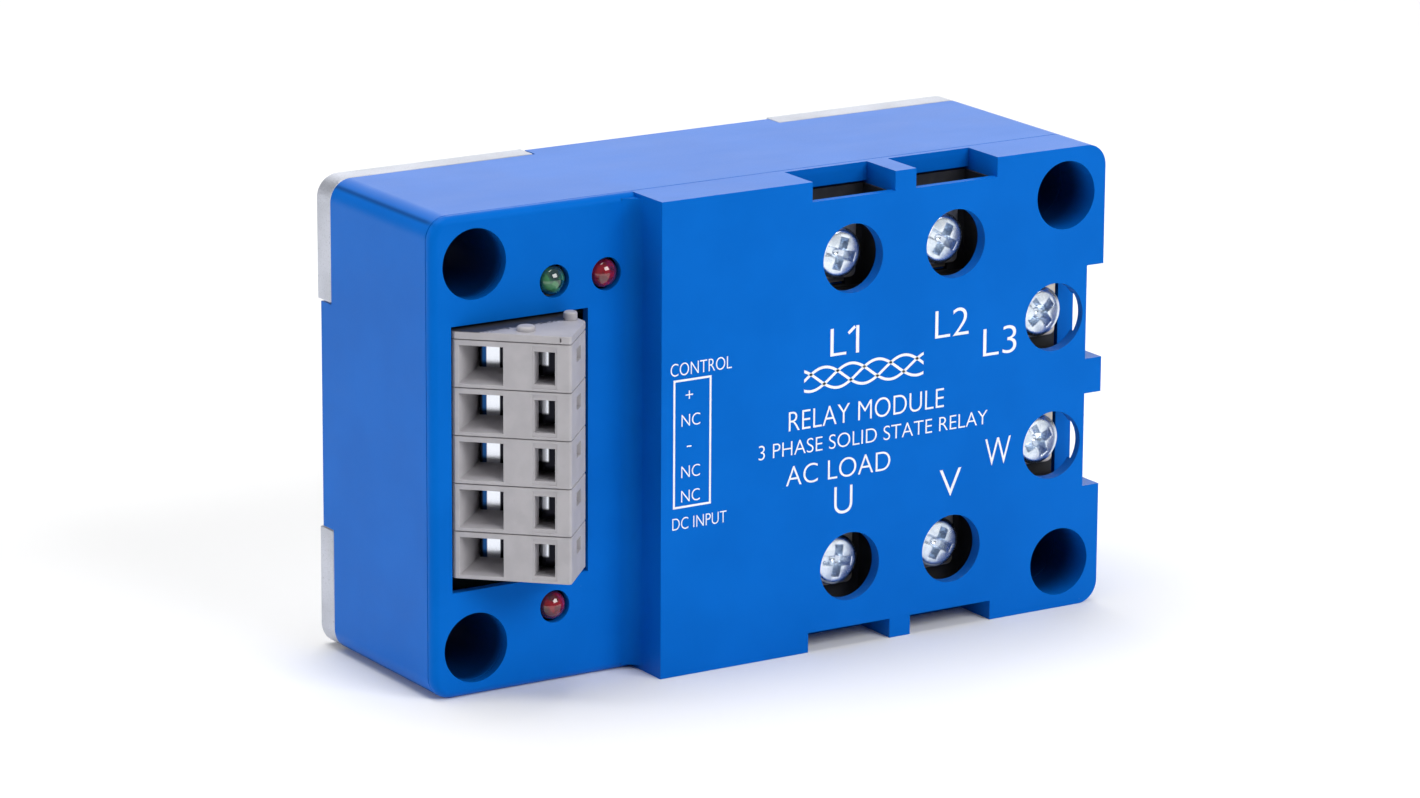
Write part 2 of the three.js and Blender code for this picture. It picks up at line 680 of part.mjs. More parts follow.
add('control_board', controlBoard(), boardGreen);
LEDS.forEach((led) => {
  const mesh = add(led.name, statusLed(), paint(led.colour, 0.2, 0));
  mesh.position.set(led.x, 0, led.z);
});
const opto = { length: 8.8, width: 6.4, height: 3.4, x: -48, pitch: 12 };
[1, 0, -1].forEach((row, i) => {
  const back = BOARD_FRONT_Y + BOARD_THICKNESS + CONTACT_GAP + 0.3;
  const z = row * opto.pitch;
  const package_ = block(
    opto.x - opto.width / 2,
    opto.x + opto.width / 2,
    back,
    back + opto.height,
    z - opto.length / 2,
    z + opto.length / 2,
  );
  add(`opto_coupler_${i + 1}`, package_, blackEpoxy);
});

add('control_end_plate', endPlate(), greyPlastic);
poleMiddles().forEach((middle, i) => {
  const n = i + 1;
  add(`control_pole_${n}`, controlPole(POLE_TOP_Z - i * POLE_PITCH), greyPlastic);
  add(`contact_bar_${n}`, contactBarSolid(middle), tinnedCopper);
  add(`clamp_spring_${n}`, clampSpring(middle), springSteel);
});

export default relay;
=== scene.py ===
import math

import bmesh
import bpy
from mathutils import Matrix, Vector


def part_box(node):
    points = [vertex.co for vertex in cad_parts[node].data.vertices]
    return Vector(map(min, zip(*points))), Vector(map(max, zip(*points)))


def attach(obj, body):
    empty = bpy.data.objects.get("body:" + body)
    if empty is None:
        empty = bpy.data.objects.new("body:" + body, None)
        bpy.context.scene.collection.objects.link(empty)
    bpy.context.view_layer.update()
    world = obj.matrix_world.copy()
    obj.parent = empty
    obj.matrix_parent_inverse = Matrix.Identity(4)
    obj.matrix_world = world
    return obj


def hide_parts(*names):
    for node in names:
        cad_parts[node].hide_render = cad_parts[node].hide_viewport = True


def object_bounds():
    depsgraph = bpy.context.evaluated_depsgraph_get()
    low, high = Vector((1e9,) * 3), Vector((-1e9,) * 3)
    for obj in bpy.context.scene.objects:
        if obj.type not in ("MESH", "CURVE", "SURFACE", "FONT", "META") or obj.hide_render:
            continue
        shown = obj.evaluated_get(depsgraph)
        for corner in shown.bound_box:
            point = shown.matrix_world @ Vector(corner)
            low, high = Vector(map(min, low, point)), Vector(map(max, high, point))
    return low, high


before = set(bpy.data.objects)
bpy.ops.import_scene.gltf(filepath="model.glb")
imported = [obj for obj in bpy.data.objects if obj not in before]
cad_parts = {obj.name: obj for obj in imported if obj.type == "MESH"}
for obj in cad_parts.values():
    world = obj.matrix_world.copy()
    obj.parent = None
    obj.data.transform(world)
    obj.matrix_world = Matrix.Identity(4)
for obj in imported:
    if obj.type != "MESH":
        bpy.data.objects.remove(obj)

mm = 0.001
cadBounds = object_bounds()
scene = bpy.context.scene
terminalNames = ["L1", "L2", "L3", "U", "V", "W"]
poleCount = 5
wireFace = {"angle": 43, "start": (-54.25, -35.4)}  # slanted face of the poles: degrees, x and y in mm
endPlateThickness = 1.2


# camera, first of all

cameraSettings = {
    "place": (-484.7, -790.9, 240.1),  # mm from the mounting face's centre
    "turn": (75.15, -0.32, -32.07),  # degrees
    "lens": 154.4,
    "sensor": 36.0,
}


def addCamera(settings):
    turn = [math.radians(angle) for angle in settings["turn"]]
    bpy.ops.object.camera_add(location=[v * mm for v in settings["place"]], rotation=turn)
    camera = bpy.context.object
    camera.name = "studioCamera"
    camera.data.lens = settings["lens"]
    camera.data.sensor_width = settings["sensor"]
    camera.data.clip_start = 0.02
    camera.data.clip_end = 30
    scene.camera = camera


addCamera(cameraSettings)
print("camera set")


# shader nodes, written as sums

class Signal:
    def __init__(self, shader, socket):
        self.shader = shader
        self.socket = socket

    def maths(self, operation, other=0.0):
        return self.shader.node("ShaderNodeMath", {"operation": operation}, {0: self, 1: other})

    def reflected(self, operation, other):
        return self.shader.node("ShaderNodeMath", {"operation": operation}, {0: other, 1: self})

    def __add__(self, other):
        return self.maths("ADD", other)

    def __radd__(self, other):
        return self.reflected("ADD", other)

    def __sub__(self, other):
        return self.maths("SUBTRACT", other)

    def __rsub__(self, other):
        return self.reflected("SUBTRACT", other)

    def __mul__(self, other):
        return self.maths("MULTIPLY", other)

    def __rmul__(self, other):
        return self.reflected("MULTIPLY", other)

    def __truediv__(self, other):
        return self.maths("DIVIDE", other)

    def between(self, low, high):
        # 0 below low, 1 above high, smooth in between
        sockets = {"Value": self, "From Min": low, "From Max": high}
        return self.shader.node("ShaderNodeMapRange", {"interpolation_type": "SMOOTHSTEP"}, sockets)


class Shader:
    def __init__(self, name):
        self.material = bpy.data.materials.new(name)
        self.material.use_nodes = True
        self.tree = self.material.node_tree
        self.tree.nodes.clear()
        self.place = self.node("ShaderNodeTexCoord", out="Object")

    def node(self, kind, settings=None, sockets=None, out=0):
        made = self.tree.nodes.new(kind)
        for key, value in (settings or {}).items():
            if key == "stops":
                self.setStops(made.color_ramp, value)
            else:
                setattr(made, key, value)
        for key, value in (sockets or {}).items():
            if isinstance(value, Signal):
                self.tree.links.new(value.socket, made.inputs[key])
            else:
                made.inputs[key].default_value = value
        return Signal(self, made.outputs[out])

    def setStops(self, ramp, stops):
        while len(ramp.elements) < len(stops):
            ramp.elements.new(0.5)
        for element, (position, colour) in zip(ramp.elements, stops):
            element.position = position
            element.color = colour

    def noise(self, size, detail=2.0, roughness=0.5, stretch=(1, 1, 1)):
        # cloud noise with features of about this size in mm
        place = self.node("ShaderNodeMapping", {}, {"Vector": self.place, "Scale": stretch})
        sockets = {"Vector": place, "Scale": 1 / (size * mm), "Detail": detail, "Roughness": roughness}
        return self.node("ShaderNodeTexNoise", {}, sockets, out="Fac")

    def cells(self, size):
        # distance from the middle of cells of about this size in mm
        sockets = {"Vector": self.place, "Scale": 1 / (size * mm)}
        return self.node("ShaderNodeTexVoronoi", {}, sockets, out="Distance")

    def axes(self, names="XYZ"):
        # the piece's own coordinates, in metres
        sockets = {"Vector": self.place}
        return [self.node("ShaderNodeSeparateXYZ", {}, sockets, out=axis) for axis in names]

    def blend(self, factor, first, second):
        sockets = {"Factor": factor, "A": first, "B": second}
        made = self.tree.nodes.new("ShaderNodeMix")
        made.data_type = "RGBA"
        for key, value in sockets.items():
            socket = next(s for s in made.inputs if s.name == key and s.enabled)
            if isinstance(value, Signal):
                self.tree.links.new(value.socket, socket)
            else:
                socket.default_value = value
        return Signal(self, next(s for s in made.outputs if s.enabled))

    def bump(self, height, depth):
        # depth in mm from a height of 0 to 1
        return self.node("ShaderNodeBump", {}, {"Strength": 1.0, "Distance": depth * mm, "Height": height})

    def finish(self, sockets):
        surface = self.node("ShaderNodeBsdfPrincipled", {}, sockets)
        output = self.tree.nodes.new("ShaderNodeOutputMaterial")
        self.tree.links.new(surface.socket, output.inputs["Surface"])
        return self.material


def opaque(red, green, blue):
    return (red, green, blue, 1.0)


# finishes

caseShadeSettings = {  # mm
    "skin": (1.2, 0.6),  # in from an outer wall, where the dark inside begins and where it ends
    "chamber": (-35.2, -31.5),  # y where the inside gets dark
    "tunnelAt": (50.6, 29.5),
    "tunnelReach": (5.8, 6.2),
    "tunnel": (-42.0, -36.0),  # y where the two tunnels beside the power terminals get dark
}


def insideOf(shader, s):
    # 1 on the surfaces inside the case and in those tunnels, 0 on the outer walls and near the front; used to
    # paint shade there
    x, y, z = shader.axes()
    acrossX, acrossZ = x.maths("ABSOLUTE"), z.maths("ABSOLUTE")
    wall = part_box("housing")[1]
    start, end = [v * mm for v in s["skin"]]
    sides = 1 - acrossX.between(wall.x - start, wall.x - end)
    ends = 1 - acrossZ.between(wall.z - start, wall.z - end)
    chamber = sides * ends * y.between(*[v * mm for v in s["chamber"]])
    tunnelX, tunnelZ = s["tunnelAt"]
    inner, outer = [v * mm for v in s["tunnelReach"]]
    nearX = 1 - (x - tunnelX * mm).maths("ABSOLUTE").between(inner, outer)
    nearZ = 1 - (acrossZ - tunnelZ * mm).maths("ABSOLUTE").between(inner, outer)
    tunnels = nearX * nearZ * y.between(*[v * mm for v in s["tunnel"]])
    return chamber.maths("MAXIMUM", tunnels)


def caseMaterial():
    shader = Shader("mouldedBlue")
    cloud = shader.noise(14, 3)
    grain = shader.noise(0.22, 3, 0.6)
    flow = shader.noise(5, 2, 0.5, (0.35, 1, 1.6))
    deep, fresh = opaque(0.0010, 0.126, 0.54), opaque(0.0016, 0.138, 0.58)
    speck, shade = opaque(0.16, 0.32, 0.66), opaque(0.0006, 0.010, 0.055)
    tone = shader.blend(cloud.between(0.3, 0.7), deep, fresh)
    specks = shader.cells(2.6).between(0.045, 0.02) * shader.noise(4, 1).between(0.6, 0.7)
    colour = shader.blend(specks * 0.35, tone, speck)
    # painted shade inside the case and down the tunnels
    colour = shader.blend(insideOf(shader, caseShadeSettings) * 0.85, colour, shade)
    return shader.finish({
        "Base Color": colour,
        "Roughness": 0.30 + 0.10 * grain + 0.06 * flow,
        "IOR": 1.24,
        "Specular Tint": opaque(0.04, 0.30, 1.0),
        "Normal": shader.bump(grain * 0.7 + flow * 0.3, 0.012),
    })


def plateMaterial():
    shader = Shader("blastedAluminium")
    pits = shader.cells(0.34)
    grain = shader.noise(0.16, 4, 0.65)
    cloud = shader.noise(7, 3)
    drawn = shader.noise(0.5, 3, 0.6, (0.05, 1, 1))
    tone = shader.blend(cloud.between(0.3, 0.7), opaque(0.50, 0.52, 0.58), opaque(0.58, 0.60, 0.67))
    colour = shader.blend(grain.between(0.56, 0.70) * 0.7, tone, opaque(0.24, 0.25, 0.28))
    return shader.finish({
        "Base Color": colour,
        "Metallic": 0.92,
        "Roughness": 0.42 + 0.18 * grain,
        "Normal": shader.bump(pits * 0.5 + grain * 0.35 + drawn * 0.15, 0.06),
    })


def greyMaterial():
    shader = Shader("mouldedGrey")
    cloud = shader.noise(3.2, 3)
    grain = shader.noise(0.15, 3, 0.6)
    grime = shader.noise(1.1, 4, 0.7).between(0.60, 0.80)
    tone = shader.blend(cloud.between(0.3, 0.7), opaque(0.400, 0.386, 0.408), opaque(0.445, 0.430, 0.452))
    colour = shader.blend(grime * 0.16, tone, opaque(0.23, 0.21, 0.21))
    # painted shadow on top of the end plate, beside the window, where the window's edge shades it
    y, z = shader.axes("YZ")
    plateTop = (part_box("control_end_plate")[0].z / mm + endPlateThickness) * mm
    ragged = y + (shader.noise(0.5, 3, 0.8) - 0.5) * (4 * mm)
    onTop = z.between(plateTop - 0.2 * mm, plateTop) * z.between(plateTop + 0.45 * mm, plateTop + 0.3 * mm)
    paintedShadow = ragged.between(-38.4 * mm, -37.8 * mm) * onTop
    colour = shader.blend(paintedShadow * 0.93, colour, opaque(0.008, 0.010, 0.016))
    return shader.finish({
        "Base Color": colour,
        "Roughness": 0.44 + 0.14 * grain,
        "Subsurface Weight": 0.06,
        "Subsurface Radius": (0.8, 0.7, 0.6),
        "Subsurface Scale": 0.0008,
        "Normal": shader.bump(grain, 0.010),
    })


def metalMaterial(name, light, dark, roughness, scratch=0.5, patchSize=1.6, bumpDepth=0.006):
    shader = Shader(name)
    cloud = shader.noise(patchSize, 3)
    scratches = shader.noise(0.12, 2, 0.5, (1, 1, 0.08))
    fine = shader.noise(0.07, 2, 0.5)
    return shader.finish({
        "Base Color": shader.blend(cloud.between(0.35, 0.7), light, dark),
        "Metallic": 1.0,
        "Roughness": roughness + 0.12 * cloud * scratch + 0.08 * fine,
        "Normal": shader.bump(scratches * scratch + fine * 0.5, bumpDepth),
    })


# painted light on the spring leaves: bands of oxide and painted shade, painted highlights and a painted blue
# reflection
springPaintedLight = {  # mm along the wire face
    "reach": 18,
    "paintedBlueReflection": (2.5, 2.7, 3.2),
    "highlightInFunnel": (3.3, 5.2, 5.3),
    "highlightUnderSlot": (11.3, 11.5, 13.1, 13.3),
    "toolSide": (10.8, 10.98),
    "highlightFoot": (0.43, 0.37),  # share of a pole's height where the painted highlight under the slot ends
}


def springMaterial(angle, start, s):
    # dark oxide and painted shade on the leaf, painted highlights in the funnel and under the tool slot, and
    # a painted blue reflection beside the funnel's highlight
    shader = Shader("temperedSpring")
    x, y, z = shader.axes()
    turn = math.radians(angle)
    reach = s["reach"]
    fromStart = (x - start[0] * mm) * math.cos(turn) - (y - start[1] * mm) * math.sin(turn)
    along = fromStart / (reach * mm)
    oxideAndShade, paintedBlueReflection = opaque(0.010, 0.010, 0.014), opaque(0.012, 0.060, 0.19)
    paintedHighlight = opaque(0.80, 0.83, 0.90)
    bands = [(0, oxideAndShade)] + list(zip(s["paintedBlueReflection"], (oxideAndShade, paintedBlueReflection, paintedBlueReflection)))
    bands += zip(s["highlightInFunnel"], (paintedHighlight, paintedHighlight, oxideAndShade))
    bands += zip(s["highlightUnderSlot"], (oxideAndShade, paintedHighlight, paintedHighlight, oxideAndShade))
    stops = [(u / reach, colour) for u, colour in bands]
    tone = shader.node("ShaderNodeValToRGB", {"stops": stops}, {"Fac": along})
    # the tool's mark ends half way down each leaf
    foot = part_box("control_pole_1")[0].z
    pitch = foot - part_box("control_pole_2")[0].z
    level = ((z - foot) / pitch + poleCount).maths("FRACT")
    # the painted highlight under the tool slot ends half way down each leaf, with painted shade below it
    underTool = along.between(*[u / reach for u in s["toolSide"]])
    tone = shader.blend(underTool * level.between(*s["highlightFoot"]), tone, oxideAndShade)
    fine = shader.noise(0.1, 2)
    return shader.finish({
        "Base Color": tone,
        "Metallic": 1.0,
        "Roughness": 0.10 + 0.10 * fine,
        "Normal": shader.bump(fine, 0.002),
    })


def lensMaterial(name, deep, paintedHighlight, cup):
    shader = Shader(name)
    depth = shader.axes("Y")[0]
    # lighter towards the dome's tip: a painted highlight, broken up by noise
    height = depth.between(-33.5 * mm, -35.6 * mm)
    swirl = shader.noise(1.7, 2).between(0.42, 0.58)
    colour = shader.blend(height * swirl, deep, paintedHighlight)
    colour = shader.blend(shader.noise(2.6, 1).between(0.56, 0.62) * 0.6, colour, cup)
    return shader.finish({
        "Base Color": colour,
        "Roughness": 0.06 + 0.05 * shader.noise(0.4, 2),
        "Coat Weight": 1.0,
        "Coat Roughness": 0.03,
        "IOR": 1.5,
    })


def plainMaterial(name, first, second, roughness, patch=2.0, grainSize=0.2, bumpDepth=0.01, metallic=0.0):
    shader = Shader(name)
    cloud = shader.noise(patch, 3)
    grain = shader.noise(grainSize, 3, 0.6)
    return shader.finish({
        "Base Color": shader.blend(cloud.between(0.3, 0.7), first, second),
        "Metallic": metallic,
        "Roughness": roughness + 0.12 * grain,
        "Normal": shader.bump(grain, bumpDepth),
    })


def boardMaterial():
    shader = Shader("solderMask")
    split = shader.axes("Z")[0]
    tracks = (split * (math.pi / (1.27 * mm))).maths("SINE").between(0.55, 0.7)
    lanes = shader.noise(9, 1).between(0.45, 0.5)
    tone = shader.blend(tracks * lanes, opaque(0.003, 0.014, 0.016), opaque(0.006, 0.030, 0.030))
    return shader.finish({
        "Base Color": tone,
        "Roughness": 0.32 + 0.1 * shader.noise(0.3, 2),
        "Coat Weight": 0.4,
        "Normal": shader.bump(tracks * lanes, 0.03),
    })


lensColours = {  # deep, painted highlight, and the cup seen through the lens
    "green": (opaque(0.010, 0.050, 0.035), opaque(0.055, 0.24, 0.10), opaque(0.030, 0.050, 0.065)),
    "red": (opaque(0.12, 0.004, 0.010), opaque(0.27, 0.008, 0.020), opaque(0.030, 0.022, 0.022)),
}
casePaint = caseMaterial()
platePaint = plateMaterial()
greyPaint = greyMaterial()
zincPaint = metalMaterial("brightZinc", opaque(0.80, 0.86, 0.93), opaque(0.58, 0.66, 0.76), 0.20)
nickelPaint = metalMaterial("dullNickel", opaque(0.66, 0.61, 0.54), opaque(0.50, 0.46, 0.41), 0.30, 0.8)
tinPaint = metalMaterial("tinnedCopper", opaque(0.72, 0.66, 0.57), opaque(0.62, 0.52, 0.42), 0.28, 0.7)
springPaint = springMaterial(wireFace["angle"], wireFace["start"], springPaintedLight)
greenLens = lensMaterial("greenLens", *lensColours["green"])
redLens = lensMaterial("redLens", *lensColours["red"])
inkPaint = plainMaterial(
    "printedInk", opaque(0.86, 0.88, 0.92), opaque(0.93, 0.94, 0.96), 0.5, 1.5, 0.12, 0.004)
boardPaint = boardMaterial()
ceramicPaint = plainMaterial("firedAlumina", opaque(0.80, 0.77, 0.70), opaque(0.86, 0.84, 0.79), 0.55)
siliconPaint = plainMaterial(
    "dieCoating", opaque(0.04, 0.045, 0.06), opaque(0.07, 0.075, 0.09), 0.25, 1.0, 0.1, 0.004, 0.3)
pottingPaint = plainMaterial(
    "castFilling", opaque(0.006, 0.006, 0.008), opaque(0.012, 0.012, 0.014), 0.28, 6, 1.2, 0.05)
packagePaint = plainMaterial("mouldedBlack", opaque(0.010, 0.010, 0.012), opaque(0.018, 0.018, 0.020), 0.45)
print("finishes made:", len(bpy.data.materials))


# modelling tools

def clearSelection():
    bpy.ops.object.select_all(action="DESELECT")


def pick(piece):
    clearSelection()
    piece.select_set(True)
    bpy.context.view_layer.objects.active = piece


def settle(piece):
    pick(piece)
    bpy.ops.object.transform_apply(location=True, rotation=True, scale=True)
    return piece


def makeBlock(name, low, high):
    clearSelection()
    centre = [(a + b) / 2 * mm for a, b in zip(low, high)]
    size = [(b - a) * mm for a, b in zip(low, high)]
    bpy.ops.mesh.primitive_cube_add(size=1, location=centre, scale=size)
    piece = bpy.context.object
    piece.name = name
    return settle(piece)


def makeRod(name, x, z, radius, yBack, yFront, sides=64):
    clearSelection()
    bpy.ops.mesh.primitive_cylinder_add(
        vertices=sides,
        radius=radius * mm,
        depth=(yBack - yFront) * mm,
        location=(x * mm, (yBack + yFront) / 2 * mm, z * mm),
        rotation=(math.pi / 2, 0, 0),
    )
    piece = bpy.context.object
    piece.name = name
    return settle(piece)


def chooseEdges(piece, test, sharpest=30):
    # selects the sharp edges whose two ends, in mm, pass the test
    bpy.context.tool_settings.mesh_select_mode = (False, True, False)
    shape = bmesh.new()
    shape.from_mesh(piece.data)
    shape.select_mode = {"EDGE"}
    for part in list(shape.verts) + list(shape.edges) + list(shape.faces):
        part.select = False
    count = 0
    for edge in shape.edges:
        ends = [vertex.co / mm for vertex in edge.verts]
        if len(edge.link_faces) == 2 and edge.calc_face_angle() > math.radians(sharpest) and test(*ends):
            edge.select_set(True)
            count += 1
    shape.select_flush_mode()
    shape.to_mesh(piece.data)
    shape.free()
    return count


def chooseFaces(piece, test):
    # selects the faces whose normal passes the test
    bpy.context.tool_settings.mesh_select_mode = (False, False, True)
    shape = bmesh.new()
    shape.from_mesh(piece.data)
    shape.select_mode = {"FACE"}
    for part in list(shape.verts) + list(shape.edges) + list(shape.faces):
        part.select = False
    for face in shape.faces:
        face.select_set(test(face.normal))
    shape.select_flush_mode()
    shape.to_mesh(piece.data)
    shape.free()


def atLevel(axis, *levels):
    # passes the edges that lie at one of these levels, in mm
    def test(a, b):
        return any(max(abs(getattr(a, axis) - v), abs(getattr(b, axis) - v)) < 0.01 for v in levels)
    return test


def runsAlongY(a, b):
    return abs(a.x - b.x) < 0.01 and abs(a.z - b.z) < 0.01


def roundEdges(piece, test, radius, segments=3, sharpest=30):
    if chooseEdges(piece, test, sharpest) == 0:
        print("  no edges to round on", piece.name)
        return piece
    pick(piece)
    bpy.ops.object.mode_set(mode="EDIT")
    bpy.ops.mesh.bevel(offset=radius * mm, segments=segments, affect="EDGES", clamp_overlap=True)
    bpy.ops.object.mode_set(mode="OBJECT")
    return piece


def applyModifier(piece, kind, **settings):
    modifier = piece.modifiers.new(kind.lower(), kind)
    for key, value in settings.items():
        setattr(modifier, key, value)
    pick(piece)
    bpy.ops.object.modifier_apply(modifier=modifier.name)


def discard(piece):
    bpy.data.objects.remove(piece, do_unlink=True)


def combine(piece, tools, operation="DIFFERENCE"):
    for tool in tools:
        applyModifier(piece, "BOOLEAN", operation=operation, object=tool, solver="EXACT")
        discard(tool)
    return piece


def cleanMesh(piece, flatAngle=0.3):
    pick(piece)
    bpy.ops.object.mode_set(mode="EDIT")
    bpy.ops.mesh.select_all(action="SELECT")
    bpy.ops.mesh.remove_doubles(threshold=0.002 * mm)
    bpy.ops.mesh.dissolve_limited(angle_limit=math.radians(flatAngle))
    bpy.ops.object.mode_set(mode="OBJECT")
    return piece


def sliceOff(piece, point, normal):
    # cuts away what lies beyond a plane, and closes the cut
    pick(piece)
    bpy.ops.object.mode_set(mode="EDIT")
    bpy.ops.mesh.select_all(action="SELECT")
    place = [v * mm for v in point]
    bpy.ops.mesh.bisect(plane_co=place, plane_no=normal, use_fill=True, clear_outer=True)
    bpy.ops.object.mode_set(mode="OBJECT")
    return piece


def smoothShade(piece, angle=32):
    pick(piece)
    bpy.ops.object.shade_smooth_by_angle(angle=math.radians(angle))
    applyModifier(piece, "WEIGHTED_NORMAL", keep_sharp=True)
    return piece


def tracePath(name, points):
    # a chain of edges through these points in mm, drawn by extruding one vertex
    bpy.context.tool_settings.mesh_select_mode = (True, False, False)
    clearSelection()
    bpy.ops.mesh.primitive_plane_add(size=mm, location=(0, 0, 0))
    piece = bpy.context.object
    piece.name = name
    settle(piece)
    bpy.ops.object.mode_set(mode="EDIT")
    bpy.ops.mesh.select_all(action="SELECT")
    bpy.ops.mesh.merge(type="CENTER")
    last = Vector(points[0]) * mm
    bpy.ops.transform.translate(value=last)
    for point in points[1:]:
        place = Vector(point) * mm
        bpy.ops.mesh.extrude_region_move(TRANSFORM_OT_translate={"value": place - last})
        last = place
    bpy.ops.object.mode_set(mode="OBJECT")
    return piece


def spinProfile(name, outline, steps=48):
    # turns an outline of (radius, y) points in mm about the Y axis
    piece = tracePath(name, [(radius, y, 0) for radius, y in outline])
    bpy.ops.object.mode_set(mode="EDIT")
    bpy.ops.mesh.select_all(action="SELECT")
    bpy.ops.mesh.spin(steps=steps, angle=2 * math.pi, center=(0, 0, 0), axis=(0, 1, 0))
    bpy.ops.mesh.select_all(action="SELECT")
    bpy.ops.mesh.remove_doubles(threshold=0.003 * mm)
    bpy.ops.mesh.normals_make_consistent(inside=False)
    bpy.ops.object.mode_set(mode="OBJECT")
    return piece


def moveMesh(piece, matrix):
    piece.data.transform(matrix)
    piece.data.update()
    return piece


def copyPiece(piece, name):
    twin = bpy.data.objects.new(name, piece.data.copy())
    scene.collection.objects.link(twin)
    return twin


def copyNode(node, name):
    # a merged copy of a frame node, to be worked on as a mesh
    twin = bpy.data.objects.new(name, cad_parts[node].data.copy())
    scene.collection.objects.link(twin)
    return cleanMesh(twin, 1.0)


def deliver(piece, material, body, slotName, *nodes):
    piece.data.materials.clear()
    piece.data.materials.append(material)
    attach(piece, body)
    if nodes:
        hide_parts(*nodes)
    return piece


def boxInMm(node):
    low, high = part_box(node)
    return [v / mm for v in low], [v / mm for v in high]


def middleOf(node):
    low, high = boxInMm(node)
    return [(a + b) / 2 for a, b in zip(low, high)]


# base plate and housing, from the frame's own shapes

plateSettings = {"rim": 0.35, "rimSteps": 2}


def makeBasePlate(settings):
    plate = copyNode("base_plate", "basePlate")
    low, high = boxInMm("base_plate")
    roundEdges(plate, atLevel("y", low[1], high[1]), settings["rim"], settings["rimSteps"])
    smoothShade(plate)
    deliver(plate, platePaint, "root", "bare_aluminium", "base_plate")


housingSettings = {"rim": 0.26, "rimSteps": 2, "cornerReach": 3.6}


def makeHousing(settings):
    housing = copyNode("housing", "caseHousing")
    low, high = boxInMm("housing")

    def onOutside(a, b):
        reach = settings["cornerReach"]
        sides = [(a.x, b.x, low[0]), (a.x, b.x, high[0]), (a.z, b.z, low[2]), (a.z, b.z, high[2])]
        onWall = any(abs(p - w) < reach and abs(q - w) < reach for p, q, w in sides)
        level = abs(a.y - b.y) < 0.01 and min(abs(a.y - low[1]), abs(a.y - high[1])) < 0.02
        return onWall and level

    roundEdges(housing, onOutside, settings["rim"], settings["rimSteps"])
    smoothShade(housing)
    deliver(housing, casePaint, "root", "case_plastic", "housing")


makeBasePlate(plateSettings)
makeHousing(housingSettings)
print("base plate and housing done")


# front cover: low face, raised terminal block, tunnels, window, chambers and wire notches

coverSettings = {
    "lowFace": -35.0,
    "stepAt": -22.8,
    "corner": 3.5,
    "edge": 1.3,
    "stepFillet": 2.4,
    "wall": 2.2,
    "frontWall": 2.0,
    "lipWall": 1.2,
    "lipRun": 1.6,
    "tunnel": 5.4,
    "tunnelX": 50.6,
    "tunnelZ": 29.5,
    "window": (-54.6, -31.1, -20.5, 20.4),
    "access": 5.4,
    "ledHole": 2.55,
    "notchHalf": 7.5,
    "notchDepth": 3.1,
    "notchBack": -34.6,
    "chamberBack": 6.9,
    "rim": 0.28,
    "backRim": 0.24,
    "cornerReach": 3.6,
}


def terminalFrame(name):
    # axis place, and a matrix that carries local +Z to the side its wire comes in from
    x, _, z = middleOf("terminal_screw_" + name)
    turns = {"L1": 0, "L2": 0, "L3": 90, "W": 90, "U": 180, "V": 180}
    matrix = Matrix.Translation((x * mm, 0, z * mm)) @ Matrix.Rotation(math.radians(turns[name]), 4, "Y")
    low, high = boxInMm("front_cover")
    reach = high[0] - x if turns[name] == 90 else high[2] - abs(z)
    return x, z, matrix, reach


def coverCutters(s, back):
    low, high = boxInMm("front_cover")
    front = low[1]
    x0, x1, z0, z1 = s["window"]
    tools = [makeBlock("windowCut", (x0, s["lowFace"] - 1, z0), (x1, back + 1, z1))]
    for sx in (-1, 1):
        for sz in (-1, 1):
            x, z = sx * s["tunnelX"], sz * s["tunnelZ"]
            tools.append(makeRod("tunnelCut", x, z, s["tunnel"], back + 1, front - 1, 96))
    for led in ("power", "phase", "fault"):
        x, _, z = middleOf("status_led_" + led)
        tools.append(makeRod("ledCut", x, z, s["ledHole"], back + 1, front - 1, 48))
    inner = s["wall"]
    firstX = middleOf("terminal_screw_L1")[0] - s["notchHalf"] - inner
    lastX = middleOf("terminal_screw_L3")[0] - s["chamberBack"] - inner
    midZ = middleOf("terminal_screw_L1")[2] - s["chamberBack"] - inner
    hollow = front + s["frontWall"]
    stepX = s["stepAt"] + inner
    tools.append(makeBlock("hollowCut", (stepX, hollow, low[2] + inner), (firstX, back + 1, high[2] - inner)))
    tools.append(makeBlock("hollowCut", (firstX - 1, hollow, -midZ), (lastX, back + 1, midZ)))
    for name in terminalNames:
        x, z, matrix, reach = terminalFrame(name)
        floor = reach - s["notchDepth"]
        half = s["notchHalf"]
        lip = front + s["lipWall"]
        local = [
            makeBlock("chamberCut", (-half, hollow, -s["chamberBack"]), (half, back + 1, floor - 0.05)),
            makeBlock("lipCut", (-half, lip, floor - s["lipRun"]), (half, back + 1, floor + 0.2)),
            makeBlock("notchCut", (-half, front - 1, floor), (half, s["notchBack"], reach + 1)),
        ]
        tools += [moveMesh(tool, matrix) for tool in local]
        tools.append(makeRod("accessCut", x, z, s["access"], hollow + 1, front - 1, 80))
    return tools


